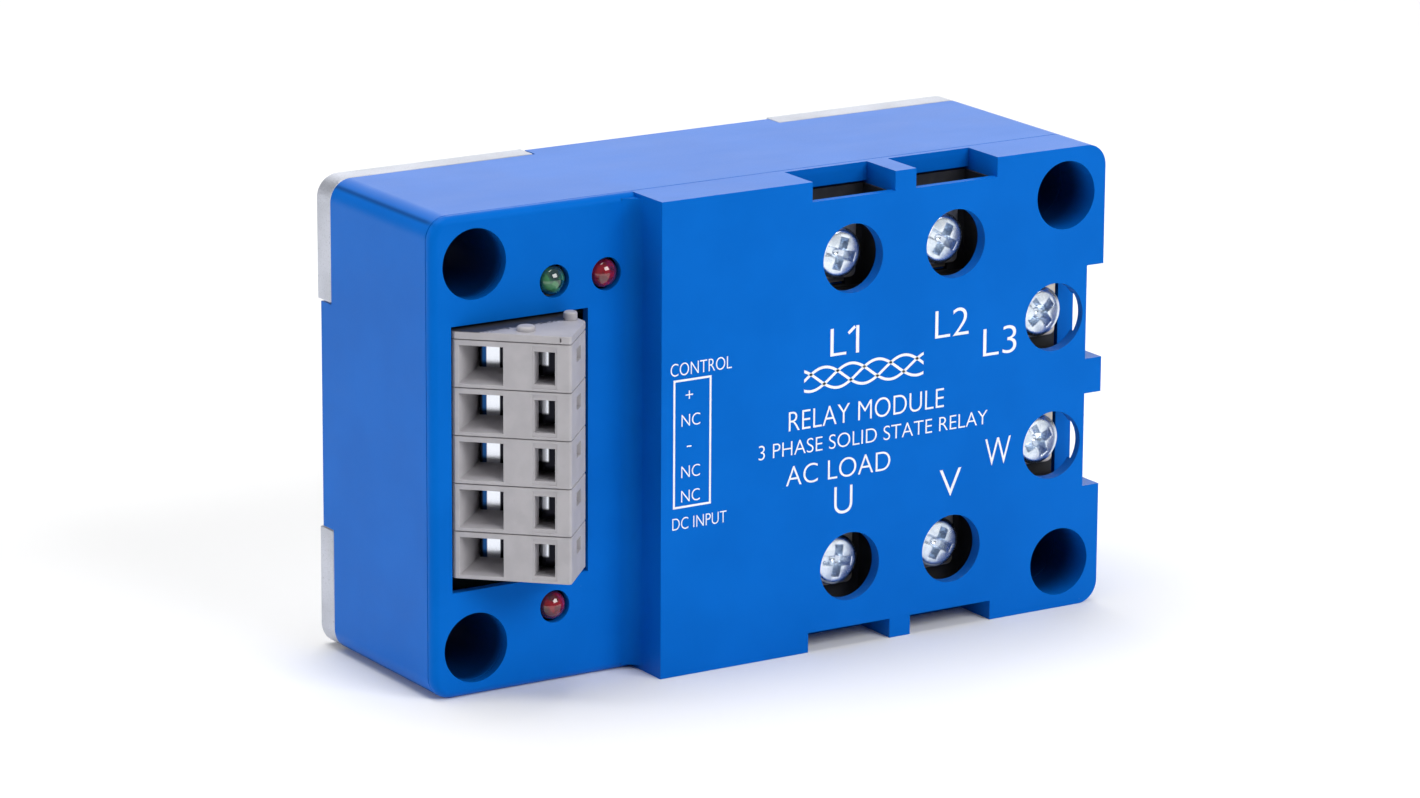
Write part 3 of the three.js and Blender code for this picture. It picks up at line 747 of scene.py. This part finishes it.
def makeCover(s):
    low, high = boxInMm("front_cover")
    back, front = high[1], low[1]
    lowFace, corner = s["lowFace"], s["corner"]
    cover = makeBlock("frontCover", (low[0], s["lowFace"], low[2]), (high[0], back, high[2]))
    roundEdges(cover, runsAlongY, corner, 12)
    roundEdges(cover, atLevel("y", lowFace), s["edge"], 5)
    raised = makeBlock("raisedBlock", (s["stepAt"], front, low[2]), (high[0], back, high[2]))
    roundEdges(raised, lambda a, b: runsAlongY(a, b) and a.x > 0, corner, 12)
    radius = s["stepFillet"]
    side = high[2] - s["edge"] / 2
    filletX, filletY = s["stepAt"] - radius, lowFace - radius
    fillet = makeBlock("stepFillet", (filletX, filletY, -side), (s["stepAt"] + 1, lowFace + 0.6, side))
    clearSelection()
    bpy.ops.mesh.primitive_cylinder_add(
        vertices=64,
        radius=radius * mm,
        depth=90 * mm,
        location=(filletX * mm, filletY * mm, 0),
    )
    combine(fillet, [settle(bpy.context.object)])
    combine(cover, [raised, fillet], "UNION")
    combine(cover, coverCutters(s, back))
    cleanMesh(cover)
    roundEdges(cover, atLevel("y", front, lowFace), s["rim"], 2, 40)

    def backRim(a, b):
        reachX, reachZ = max(abs(a.x), abs(b.x)), max(abs(a.z), abs(b.z))
        outer = reachX > high[0] - s["cornerReach"] or reachZ > high[2] - s["cornerReach"]
        return outer and atLevel("y", back)(a, b)

    roundEdges(cover, backRim, s["backRim"], 1, 40)
    smoothShade(cover)
    deliver(cover, casePaint, "root", "case_plastic", "front_cover")


makeCover(coverSettings)
print("front cover done")


# power terminals: screws, clamp plates and the insulating trays round the busbars

screwSettings = {
    "shank": 2.0,
    "core": 1.62,
    "pitch": 0.7,
    "head": 4.0,
    "headHeight": 2.8,
    "crown": 0.95,
    "slotLength": 6.2,
    "slotWidth": 1.75,
    "slotDepth": 1.7,
    "coneRadius": (1.0, 1.25),
    "turns": {"L1": 18, "L2": 31, "L3": 52, "U": 8, "V": 27, "W": 64},
}


def screwOutline(s, tip, seat):
    points = [(0, tip), (s["core"] - 0.35, tip), (s["core"], tip - 0.4)]
    y = tip - 0.6
    while y - s["pitch"] > seat + 0.4:
        points += [(s["core"], y), (s["shank"], y - s["pitch"] * 0.5), (s["core"], y - s["pitch"] * 0.96)]
        y -= s["pitch"]
    top = seat - s["headHeight"]
    points += [(s["core"], seat), (s["head"] - 0.15, seat), (s["head"], seat - 0.15)]
    steps = 8
    for i in range(steps + 1):
        angle = math.radians(90) * i / steps
        reach = s["head"] - s["crown"] * (1 - math.cos(angle))
        points.append((reach, top + 0.25 + s["crown"] * (1 - math.sin(angle))))
    points += [((s["head"] - s["crown"]) * 0.6, top + 0.08), (0, top)]
    return points


def crossCutter(s, top):
    arms = []
    for turn in (0, 90):
        half = s["slotLength"] / 2
        width = s["slotWidth"] / 2
        arm = makeBlock("armCut", (-half, top - 0.6, -width), (half, top + s["slotDepth"], width))
        moveMesh(arm, Matrix.Rotation(math.radians(turn), 4, "Y"))
        chooseFaces(arm, lambda normal: normal.y > 0.9)
        pick(arm)
        bpy.ops.object.mode_set(mode="EDIT")
        bpy.ops.transform.resize(value=(0.5, 1, 0.5))
        bpy.ops.object.mode_set(mode="OBJECT")
        arms.append(arm)
    depth = s["slotDepth"]
    narrow, wide = s["coneRadius"]
    outline = [(0, top + depth + 0.5), (narrow, top + depth * 0.8), (wide, top - 0.6), (0, top - 0.6)]
    return arms + [spinProfile("coneCut", outline, 32)]


def makeScrews(s):
    low, high = boxInMm("terminal_screw_L1")
    tip, top = high[1], low[1]
    seat = top + s["headHeight"]
    master = spinProfile("screwMaster", screwOutline(s, tip, seat), 64)
    combine(master, crossCutter(s, top))
    cleanMesh(master, 0.1)

    def recessRim(a, b):
        onCrown = max(a.y, b.y) < top + 0.6
        return onCrown and max(math.hypot(a.x, a.z), math.hypot(b.x, b.z)) < s["head"] - 0.5

    roundEdges(master, recessRim, 0.09, 2, 40)
    smoothShade(master, 38)
    for name in terminalNames:
        x, _, z = middleOf("terminal_screw_" + name)
        screw = copyPiece(master, "terminalScrew" + name)
        turn = Matrix.Rotation(math.radians(s["turns"][name]), 4, "Y")
        moveMesh(screw, Matrix.Translation((x * mm, 0, z * mm)) @ turn)
        deliver(screw, zincPaint, "screw_" + name, "plated_steel", "terminal_screw_" + name)
    discard(master)


clampSettings = {
    "size": 9.4,
    "corner": 1.0,
    "hole": 2.25,
    "rim": 0.18,
    "grooves": (-3.4, -2.7, 2.7, 3.4),
    "grooveHalf": 0.14,
    "grooveDepth": 0.16,
}


def makeClampPlates(s):
    low, high = boxInMm("clamp_plate_L1")
    half = s["size"] / 2
    master = makeBlock("clampMaster", (-half, low[1], -half), (half, high[1], half))
    roundEdges(master, runsAlongY, s["corner"], 6)
    tools = [makeRod("holeCut", 0, 0, s["hole"], high[1] + 1, low[1] - 1, 40)]
    floor = high[1] - s["grooveDepth"]
    for z in s["grooves"]:
        near, far = z - s["grooveHalf"], z + s["grooveHalf"]
        tools.append(makeBlock("grooveCut", (-half - 1, floor, near), (half + 1, high[1] + 1, far)))
    combine(master, tools)
    cleanMesh(master)
    roundEdges(master, atLevel("y", low[1]), s["rim"], 2)
    smoothShade(master)
    for name in terminalNames:
        plate = copyPiece(master, "clampPlate" + name)
        moveMesh(plate, terminalFrame(name)[2])
        deliver(plate, nickelPaint, "clamp_" + name, "plated_steel", "clamp_plate_" + name)
    discard(master)


shroudSettings = {
    "halfWidth": 7.42,
    "inner": -6.84,
    "wall": 0.4,
    "floor": 0.9,
    "tabHalf": 3.9,
    "tabRange": (-6.2, 4.9),
    "frontGap": 0.15,
    "deckGap": 0.03,
    "lipGap": 0.25,
    "rim": 0.12,
}


def makeTerminalShrouds(s):
    # the dark insulating tray round each busbar, open to the front and to the wire
    deck = boxInMm("housing")[0][1] - s["deckGap"]
    front = boxInMm("front_cover")[0][1] + coverSettings["frontWall"] + s["frontGap"]
    for name in terminalNames:
        _, _, matrix, reach = terminalFrame(name)
        outer = reach - coverSettings["notchDepth"] - s["lipGap"]
        half, wall, inner = s["halfWidth"], s["wall"], s["inner"]
        shroud = makeBlock("terminalShroud" + name, (-half, front, inner), (half, deck, outer))
        floor = deck - s["floor"]
        room = makeBlock("roomCut", (wall - half, front - 1, inner + wall), (half - wall, floor, outer + 1))
        near, far = s["tabRange"]
        tab = makeBlock("tabCut", (-s["tabHalf"], deck - 3, near), (s["tabHalf"], deck + 1, far))
        combine(shroud, [room, tab])
        cleanMesh(shroud)
        roundEdges(shroud, atLevel("y", front), s["rim"], 2)
        smoothShade(moveMesh(shroud, matrix))
        deliver(shroud, packagePaint, "root", "black_plastic")


makeScrews(screwSettings)
makeClampPlates(clampSettings)
makeTerminalShrouds(shroudSettings)
print("terminal screws and clamp plates done")


# control terminal: five poles cut round the contact bars, an end plate with pegs, and springs

poleSettings = {
    **wireFace,
    "length": 17.6,
    "shoulder": 9.8,
    "nose": 0.5,
    "roof": 0.7,
    "funnel": (0.3, 7.3),
    "throat": (1.8, 7.3),
    "throatAt": 4.0,
    "throatFloor": 1.2,
    "shaftDepth": 9.4,
    "slot": (12.0, 15.1, 5.0),
    "chamber": (7.25, 16.5, 3.1, 9.4),
    "panel": (11.7, 15.4, 0.14),
    "panelMargin": 0.45,
    "base": 0.35,
    "barGap": 0.3,
    "seam": 0.16,
    "mouth": 0.12,
}


def onFace(s):
    x, y = s["start"]
    return Matrix.Translation((x * mm, y * mm, 0)) @ Matrix.Rotation(math.radians(-s["angle"]), 4, "Z")


def poleBody(s, name, bottom, top, node):
    # the block behind the slanted wire face, cut off level with the case
    low, high = boxInMm(node)
    body = makeBlock(name, (-14, 0, bottom), (s["length"], 26, top))
    moveMesh(body, onFace(s))
    angle = math.radians(s["angle"])
    x, y = s["start"]
    noseX = x + s["length"] * math.cos(angle)
    shoulderX = noseX + s["shoulder"] * math.sin(angle)
    sliceOff(body, (low[0], 0, 0), (-1, 0, 0))
    sliceOff(body, (shoulderX, 0, 0), (1, 0, 0))
    sliceOff(body, (0, high[1], 0), (0, 1, 0))
    roundEdges(body, lambda a, b: abs(a.x - noseX) < 0.05 and abs(b.x - noseX) < 0.05, s["nose"], 4)
    roundEdges(body, lambda a, b: abs(a.z - b.z) < 0.01 and max(a.y, b.y) < -30.5, s["seam"], 2)
    return body


def makeFunnel(s, base, roof, throatBase, throatRoof):
    # a block whose far end is drawn in to the throat
    near, far = s["funnel"], s["throat"]
    funnel = makeBlock("funnelCut", (near[0], -1, base), (near[1], s["throatAt"], roof))
    chooseFaces(funnel, lambda normal: normal.y > 0.9)
    shrinkX = (far[1] - far[0]) / (near[1] - near[0])
    shrinkZ = (throatRoof - throatBase) / (roof - base)
    shiftX = (far[0] + far[1] - near[0] - near[1]) / 2
    shiftZ = (throatBase + throatRoof - base - roof) / 2
    pick(funnel)
    bpy.ops.object.mode_set(mode="EDIT")
    bpy.ops.transform.resize(value=(shrinkX, 1, shrinkZ))
    bpy.ops.transform.translate(value=(shiftX * mm, 0, shiftZ * mm))
    bpy.ops.object.mode_set(mode="OBJECT")
    return funnel


def poleCutters(s, bottom, top):
    roof, base = top - s["roof"], bottom + s["base"]
    middle = (bottom + top) / 2
    throatBase = base + s["throatFloor"]
    throatRoof = roof - s["throatFloor"] * 0.45
    throat0, throat1 = s["throat"]
    slotStart, slotEnd, slotHeight = s["slot"]
    slotBase = middle - 0.1 - slotHeight / 2
    u0, u1, n0, n1 = s["chamber"]
    p0, p1, recess = s["panel"]
    margin = s["panelMargin"]
    shaftAt = s["throatAt"] - 0.01
    tools = [
        makeFunnel(s, base, roof, throatBase, throatRoof),
        makeBlock("shaftCut", (throat0, shaftAt, throatBase), (throat1, s["shaftDepth"], throatRoof)),
        makeBlock("chamberCut", (u0, n0, base + 0.4), (u1, n1, roof)),
        makeBlock("panelCut", (p0, -1, bottom + margin), (p1, recess, top - margin)),
        makeBlock("slotCut", (slotStart, -1, slotBase), (slotEnd, n0 + 1, slotBase + slotHeight)),
        makeBlock("testCut", (s["length"] - 0.9, 3.7, middle + 0.1), (s["length"] + 1, 6.6, middle + 2.2)),
    ]
    return [moveMesh(tool, onFace(s)) for tool in tools]


def makePoles(s):
    low, high = boxInMm("control_pole_1")
    bottom, top = low[2], high[2]
    master = poleBody(s, "poleMaster", bottom, top, "control_pole_1")
    combine(master, poleCutters(s, bottom, top))
    barLow, barHigh = boxInMm("contact_bar_1")
    grow = s["barGap"]
    barEnd = (barHigh[0] + grow, high[1] + 1, barHigh[2] + grow)
    combine(master, [makeBlock("barCut", [v - grow for v in barLow], barEnd)])
    cleanMesh(master)
    toFace = onFace(s).inverted()

    def mouth(a, b):
        ends = [toFace @ (v * mm) / mm for v in (a, b)]
        inside = all(0.1 < v.x < s["length"] - 1 and -0.05 < v.y < 0.25 for v in ends)
        return inside and all(bottom + 0.2 < v.z < top - 0.2 for v in ends)

    roundEdges(master, mouth, s["mouth"], 2, 35)
    smoothShade(master)
    for index in range(poleCount):
        node = "control_pole_%d" % (index + 1)
        pole = copyPiece(master, "controlPole%d" % (index + 1))
        moveMesh(pole, Matrix.Translation((0, 0, (boxInMm(node)[1][2] - top) * mm)))
        deliver(pole, greyPaint, "root", "grey_plastic", node)
    discard(master)


endPlateSettings = {
    "thickness": endPlateThickness,
    "pegs": [
        {"u": 10.2, "n": 2.6, "radius": 1.4, "height": 0.75, "dome": 0.45},
        {"u": 15.2, "n": 10.4, "radius": 1.05, "height": 1.3, "dome": 0.35},
    ],
}


def makeEndPlate(s, e):
    low, high = boxInMm("control_end_plate")
    top = low[2] + e["thickness"]
    plate = poleBody(s, "controlEndPlate", low[2], top, "control_end_plate")
    tools = []
    for peg in e["pegs"]:
        spot = onFace(s) @ Vector((peg["u"] * mm, peg["n"] * mm, 0))
        clearSelection()
        bpy.ops.mesh.primitive_cylinder_add(
            vertices=48,
            radius=peg["radius"] * mm,
            depth=(peg["height"] + 0.6) * mm,
            location=(spot.x, spot.y, (top + (peg["height"] - 0.6) / 2) * mm),
        )
        tool = settle(bpy.context.object)
        roundEdges(tool, atLevel("z", top + peg["height"]), peg["dome"], 5)
        tools.append(tool)
    combine(plate, tools, "UNION")
    end = s["length"]
    tick = makeBlock("tickCut", (end - 1.75, -0.2, low[2] + 0.3), (end - 1.5, 0.5, low[2] + 0.9))
    combine(plate, [moveMesh(tick, onFace(s))])
    cleanMesh(plate)
    smoothShade(plate)
    deliver(plate, greyPaint, "root", "grey_plastic", "control_end_plate")


springSettings = {
    "thickness": 0.36,
    "loop": (13.9, 6.4, 1.9),
    "foot": 9.0,
    "bend": (9.0, 7.6),
    "tip": 2.15,
    "tray": 7.0,
    "rim": 0.05,
}


def springLine(s):
    u, n, radius = s["loop"]
    line = [(s["foot"], n + radius)]
    steps = 20
    for i in range(steps + 1):
        angle = math.pi / 2 - math.pi * i / steps
        line.append((u + radius * math.cos(angle), n + radius * math.sin(angle)))
    first, second = s["bend"]
    line += [(first + 0.3, n - radius), (first, n - radius + 0.12), (first - 0.2, n - radius + 0.4)]
    line += [(second + 0.25, s["tray"] - 0.45), (second, s["tray"] - 0.15), (second - 0.35, s["tray"])]
    line.append((s["tip"], s["tray"]))
    return line


def makeSprings(p, s):
    low, high = boxInMm("clamp_spring_1")
    master = tracePath("springMaster", [(u, n, low[2]) for u, n in springLine(s)])
    bpy.ops.object.mode_set(mode="EDIT")
    bpy.ops.mesh.select_all(action="SELECT")
    width = (high[2] - low[2]) * mm
    bpy.ops.mesh.extrude_region_move(TRANSFORM_OT_translate={"value": (0, 0, width)})
    bpy.ops.object.mode_set(mode="OBJECT")
    applyModifier(master, "SOLIDIFY", thickness=s["thickness"] * mm, offset=0)
    applyModifier(master, "BEVEL", width=s["rim"] * mm, segments=2, angle_limit=math.radians(50))
    moveMesh(master, onFace(p))
    smoothShade(master, 40)
    for index in range(poleCount):
        node = "clamp_spring_%d" % (index + 1)
        spring = copyPiece(master, "clampSpring%d" % (index + 1))
        moveMesh(spring, Matrix.Translation((0, 0, (boxInMm(node)[0][2] - low[2]) * mm)))
        deliver(spring, springPaint, "spring_%d" % (index + 1), "spring_steel", node)
    discard(master)


makePoles(poleSettings)
makeEndPlate(poleSettings, endPlateSettings)
makeSprings(poleSettings, springSettings)
print("control terminal done")


# indicator lenses

ledSettings = {
    "foot": -29.5,
    "flange": 2.8,
    "flangeHeight": 1.0,
    "flangeRim": 0.1,
    "radius": 2.3,
    "shoulder": -33.5,
    "steps": 12,
}


def lensOutline(s):
    foot, flange, rim, radius = s["foot"], s["flange"], s["flangeRim"], s["radius"]
    neck = foot - s["flangeHeight"]
    points = [(0, foot), (flange - rim, foot), (flange, foot - rim)]
    points += [(flange, neck + rim), (flange - rim, neck), (radius, neck)]
    for i in range(s["steps"]):
        angle = math.pi / 2 * i / s["steps"]
        points.append((radius * math.cos(angle), s["shoulder"] - radius * math.sin(angle)))
    points.append((0, s["shoulder"] - radius))
    return points


def makeLeds(s):
    lenses = {
        "power": (greenLens, "led_green"),
        "phase": (redLens, "led_red"),
        "fault": (redLens, "led_red"),
    }
    points = lensOutline(s)
    for name, (paint, slotName) in lenses.items():
        node = "status_led_" + name
        x, _, z = middleOf(node)
        lens = spinProfile("statusLed" + name.capitalize(), points, 48)
        moveMesh(lens, Matrix.Translation((x * mm, 0, z * mm)))
        smoothShade(lens, 40)
        deliver(lens, paint, "root", slotName, node)


makeLeds(ledSettings)
print("indicator lenses done")


# printed marks on the raised face

printSettings = {
    "height": 0.03,
    "thinner": 0.012,
    "lines": [
        {"text": "L1", "x": 9.9, "z": 11.6, "cap": 4.3, "width": 5.2},
        {"text": "L2", "x": 29.6, "z": 11.9, "cap": 4.3, "width": 6.2},
        {"text": "L3", "x": 38.6, "z": 7.9, "cap": 4.3, "width": 6.2},
        {"text": "U", "x": 9.95, "z": -13.5, "cap": 4.3, "width": 3.3},
        {"text": "V", "x": 29.75, "z": -13.6, "cap": 4.3, "width": 4.0},
        {"text": "W", "x": 38.6, "z": -9.8, "cap": 4.3, "width": 4.8},
        {"text": "CONTROL", "x": -15.8, "z": 11.0, "cap": 1.9, "width": 10.8},
        {"text": "+", "x": -17.9, "z": 6.9, "cap": 1.9, "width": 1.3},
        {"text": "NC", "x": -17.6, "z": 3.0, "cap": 1.8, "width": 3.3},
        {"text": "-", "x": -17.9, "z": -1.1, "cap": 1.9, "width": 0.8},
        {"text": "NC", "x": -17.6, "z": -5.0, "cap": 1.8, "width": 3.3},
        {"text": "NC", "x": -17.6, "z": -8.8, "cap": 1.8, "width": 3.3},
        {"text": "DC INPUT", "x": -16.0, "z": -13.0, "cap": 1.8, "width": 9.6},
        {"text": "RELAY MODULE", "x": 14.1, "z": 0.2, "cap": 3.0, "width": 28.4},
        {"text": "3 PHASE SOLID STATE RELAY", "x": 15.5, "z": -4.0, "cap": 2.2, "width": 42.0},
        {"text": "AC LOAD", "x": 9.0, "z": -8.4, "cap": 3.0, "width": 19.0},
    ],
    "flag": {"x": 11.15, "z": 13.15, "length": 1.5, "line": 0.45, "slant": 38},
    "frame": {"x": (-20.7, -14.0), "z": (-10.6, 9.4), "line": 0.32},
    "waves": {"x": (2.6, 24.4), "z": 6.2, "height": 1.75, "line": 0.42, "periods": 1.5, "steps": 72},
}


def addText(name, text, size):
    clearSelection()
    bpy.ops.object.text_add(location=(0, 0, 0))
    letters = bpy.context.object
    letters.name = name
    letters.data.body = text
    letters.data.size = size
    letters.data.extrude = printSettings["height"] * mm
    letters.data.offset = -printSettings["thinner"] * size
    pick(letters)
    bpy.ops.object.convert(target="MESH")
    return bpy.context.object


def makePrintedLine(line, number, face, sizePerCap):
    letters = addText("print%02d" % number, line["text"], line["cap"] * mm * sizePerCap)
    corners = [v.co for v in letters.data.vertices]
    left, right = min(c.x for c in corners), max(c.x for c in corners)
    lowest, highest = min(c.y for c in corners), max(c.y for c in corners)
    stretch = line["width"] * mm / (right - left)
    centre = Vector(((left + right) / 2, (lowest + highest) / 2, 0))
    place = Matrix.Translation(Vector((line["x"], face, line["z"])) * mm)
    stand = Matrix.Rotation(math.pi / 2, 4, "X") @ Matrix.Diagonal((stretch, 1, 1, 1))
    moveMesh(letters, place @ stand @ Matrix.Translation(-centre))
    deliver(letters, inkPaint, "root", "case_plastic")


def makeFlag(s, face, height):
    # the short slanted stroke of the figure one in L1
    half = s["length"] / 2
    flag = makeBlock("printFlag", (-half, -height, -s["line"] / 2), (half, height, s["line"] / 2))
    turn = Matrix.Rotation(math.radians(-s["slant"]), 4, "Y")
    moveMesh(flag, Matrix.Translation(Vector((s["x"], face, s["z"])) * mm) @ turn)
    deliver(flag, inkPaint, "root", "case_plastic")


def makePrintedFrame(s, face, height):
    (x0, x1), (z0, z1) = s["x"], s["z"]
    line = s["line"]
    outline = makeBlock("printFrame", (x0, face - height, z0), (x1, face + height, z1))
    middle = makeBlock("frameCut", (x0 + line, face - 1, z0 + line), (x1 - line, face + 1, z1 - line))
    combine(outline, [middle])
    deliver(outline, inkPaint, "root", "case_plastic")


def wavePoint(s, face, phase, along, across):
    # along from 0 to 1 over the wave's length, across from -0.5 to 0.5 over its line
    x0, x1 = s["x"]
    angle = 2 * math.pi * (along * s["periods"] - phase / 3)
    slope = math.cos(angle) * s["height"] * 2 * math.pi * s["periods"] / (x1 - x0)
    rise = math.sin(angle) * s["height"] + across * s["line"] * math.hypot(1, slope)
    return Vector((x0 + along * (x1 - x0), face, s["z"] + rise)) * mm


def makeWaves(s, face, height):
    # three sine waves a third of a turn apart, as a plain sign for three-phase current
    for phase in range(3):
        clearSelection()
        bpy.ops.mesh.primitive_grid_add(x_subdivisions=s["steps"], y_subdivisions=1, size=1)
        ribbon = bpy.context.object
        ribbon.name = "printWave%d" % (phase + 1)
        for vertex in ribbon.data.vertices:
            vertex.co = wavePoint(s, face, phase, vertex.co.x + 0.5, vertex.co.y)
        applyModifier(ribbon, "SOLIDIFY", thickness=2 * height * mm, offset=0)
        bpy.ops.object.mode_set(mode="EDIT")
        bpy.ops.mesh.select_all(action="SELECT")
        bpy.ops.mesh.normals_make_consistent(inside=False)
        bpy.ops.object.mode_set(mode="OBJECT")
        deliver(ribbon, inkPaint, "root", "case_plastic")


def makePrint(s):
    face = boxInMm("front_cover")[0][1]
    sample = addText("sample", "H", 1.0)
    capHeight = max(v.co.y for v in sample.data.vertices) - min(v.co.y for v in sample.data.vertices)
    discard(sample)
    for number, line in enumerate(s["lines"], 1):
        makePrintedLine(line, number, face, 1 / capHeight)
    makeFlag(s["flag"], face, s["height"])
    makePrintedFrame(s["frame"], face, s["height"])
    makeWaves(s["waves"], face, s["height"])


makePrint(printSettings)
print("printed marks done")


# the pieces inside keep the frame's shapes, with softened edges and their own finishes

insideFinishes = {
    "terminal_nut_": zincPaint,
    "busbar_": tinPaint,
    "contact_bar_": tinPaint,
    "ceramic_substrate_": ceramicPaint,
    "thyristor_chip_": siliconPaint,
    "potting_fill": pottingPaint,
    "control_board": boardPaint,
    "opto_coupler_": packagePaint,
}


def finishInside(finishes):
    for node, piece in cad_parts.items():
        for start, material in finishes.items():
            if node.startswith(start):
                piece.data.materials.clear()
                piece.data.materials.append(material)
                weld = piece.modifiers.new("weld", "WELD")
                weld.merge_threshold = 0.002 * mm
                bevel = piece.modifiers.new("softEdges", "BEVEL")
                bevel.width = 0.1 * mm
                bevel.segments = 2
                bevel.limit_method = "ANGLE"
                bevel.angle_limit = math.radians(40)


finishInside(insideFinishes)
print("inside pieces finished")


# floor, world and lights

studioSettings = {
    "floor": (0.96, 0.96, 0.96),
    "world": 0.16,
    "lights": [
        {"name": "topLight", "place": (-0.10, 0.15, 1.30), "size": (1.0, 1.0), "power": 13},
        {"name": "frontLight", "place": (0.35, -1.10, 0.75), "size": (0.8, 0.6), "power": 11},
        {"name": "leftLight", "place": (-1.30, 0.45, 0.32), "size": (0.7, 0.7), "power": 5.5},
        {"name": "backCard", "place": (1.10, 1.90, 0.75), "size": (2.6, 1.6), "power": 22},
    ],
}


def makeStudio(s):
    shader = Shader("paleFloor")
    cloud = shader.noise(60, 2)
    tone = [c * 0.985 for c in s["floor"]]
    paint = shader.finish({
        "Base Color": shader.blend(cloud, opaque(*s["floor"]), opaque(*tone)),
        "Roughness": 0.85 + 0.05 * cloud,
        "Specular IOR Level": 0.1,
    })
    clearSelection()
    level = cadBounds[0][2] - 0.02 * mm
    bpy.ops.mesh.primitive_plane_add(size=8, location=(0, 0, level))
    floor = settle(bpy.context.object)
    floor.name = "studioFloor"
    floor.data.materials.append(paint)
    world = bpy.data.worlds.new("studioWorld")
    world.use_nodes = True
    background = world.node_tree.nodes["Background"]
    background.inputs["Color"].default_value = (1, 1, 1, 1)
    background.inputs["Strength"].default_value = s["world"]
    scene.world = world
    for light in s["lights"]:
        place = Vector(light["place"])
        bpy.ops.object.light_add(type="AREA", location=place)
        lamp = bpy.context.object
        lamp.name = light["name"]
        lamp.data.shape = "RECTANGLE"
        lamp.data.size, lamp.data.size_y = light["size"]
        lamp.data.energy = light["power"]
        lamp.rotation_euler = (-place).to_track_quat("-Z", "Y").to_euler()
    scene.view_settings.view_transform = "Standard"
    scene.view_settings.look = "None"


makeStudio(studioSettings)
print("studio ready")
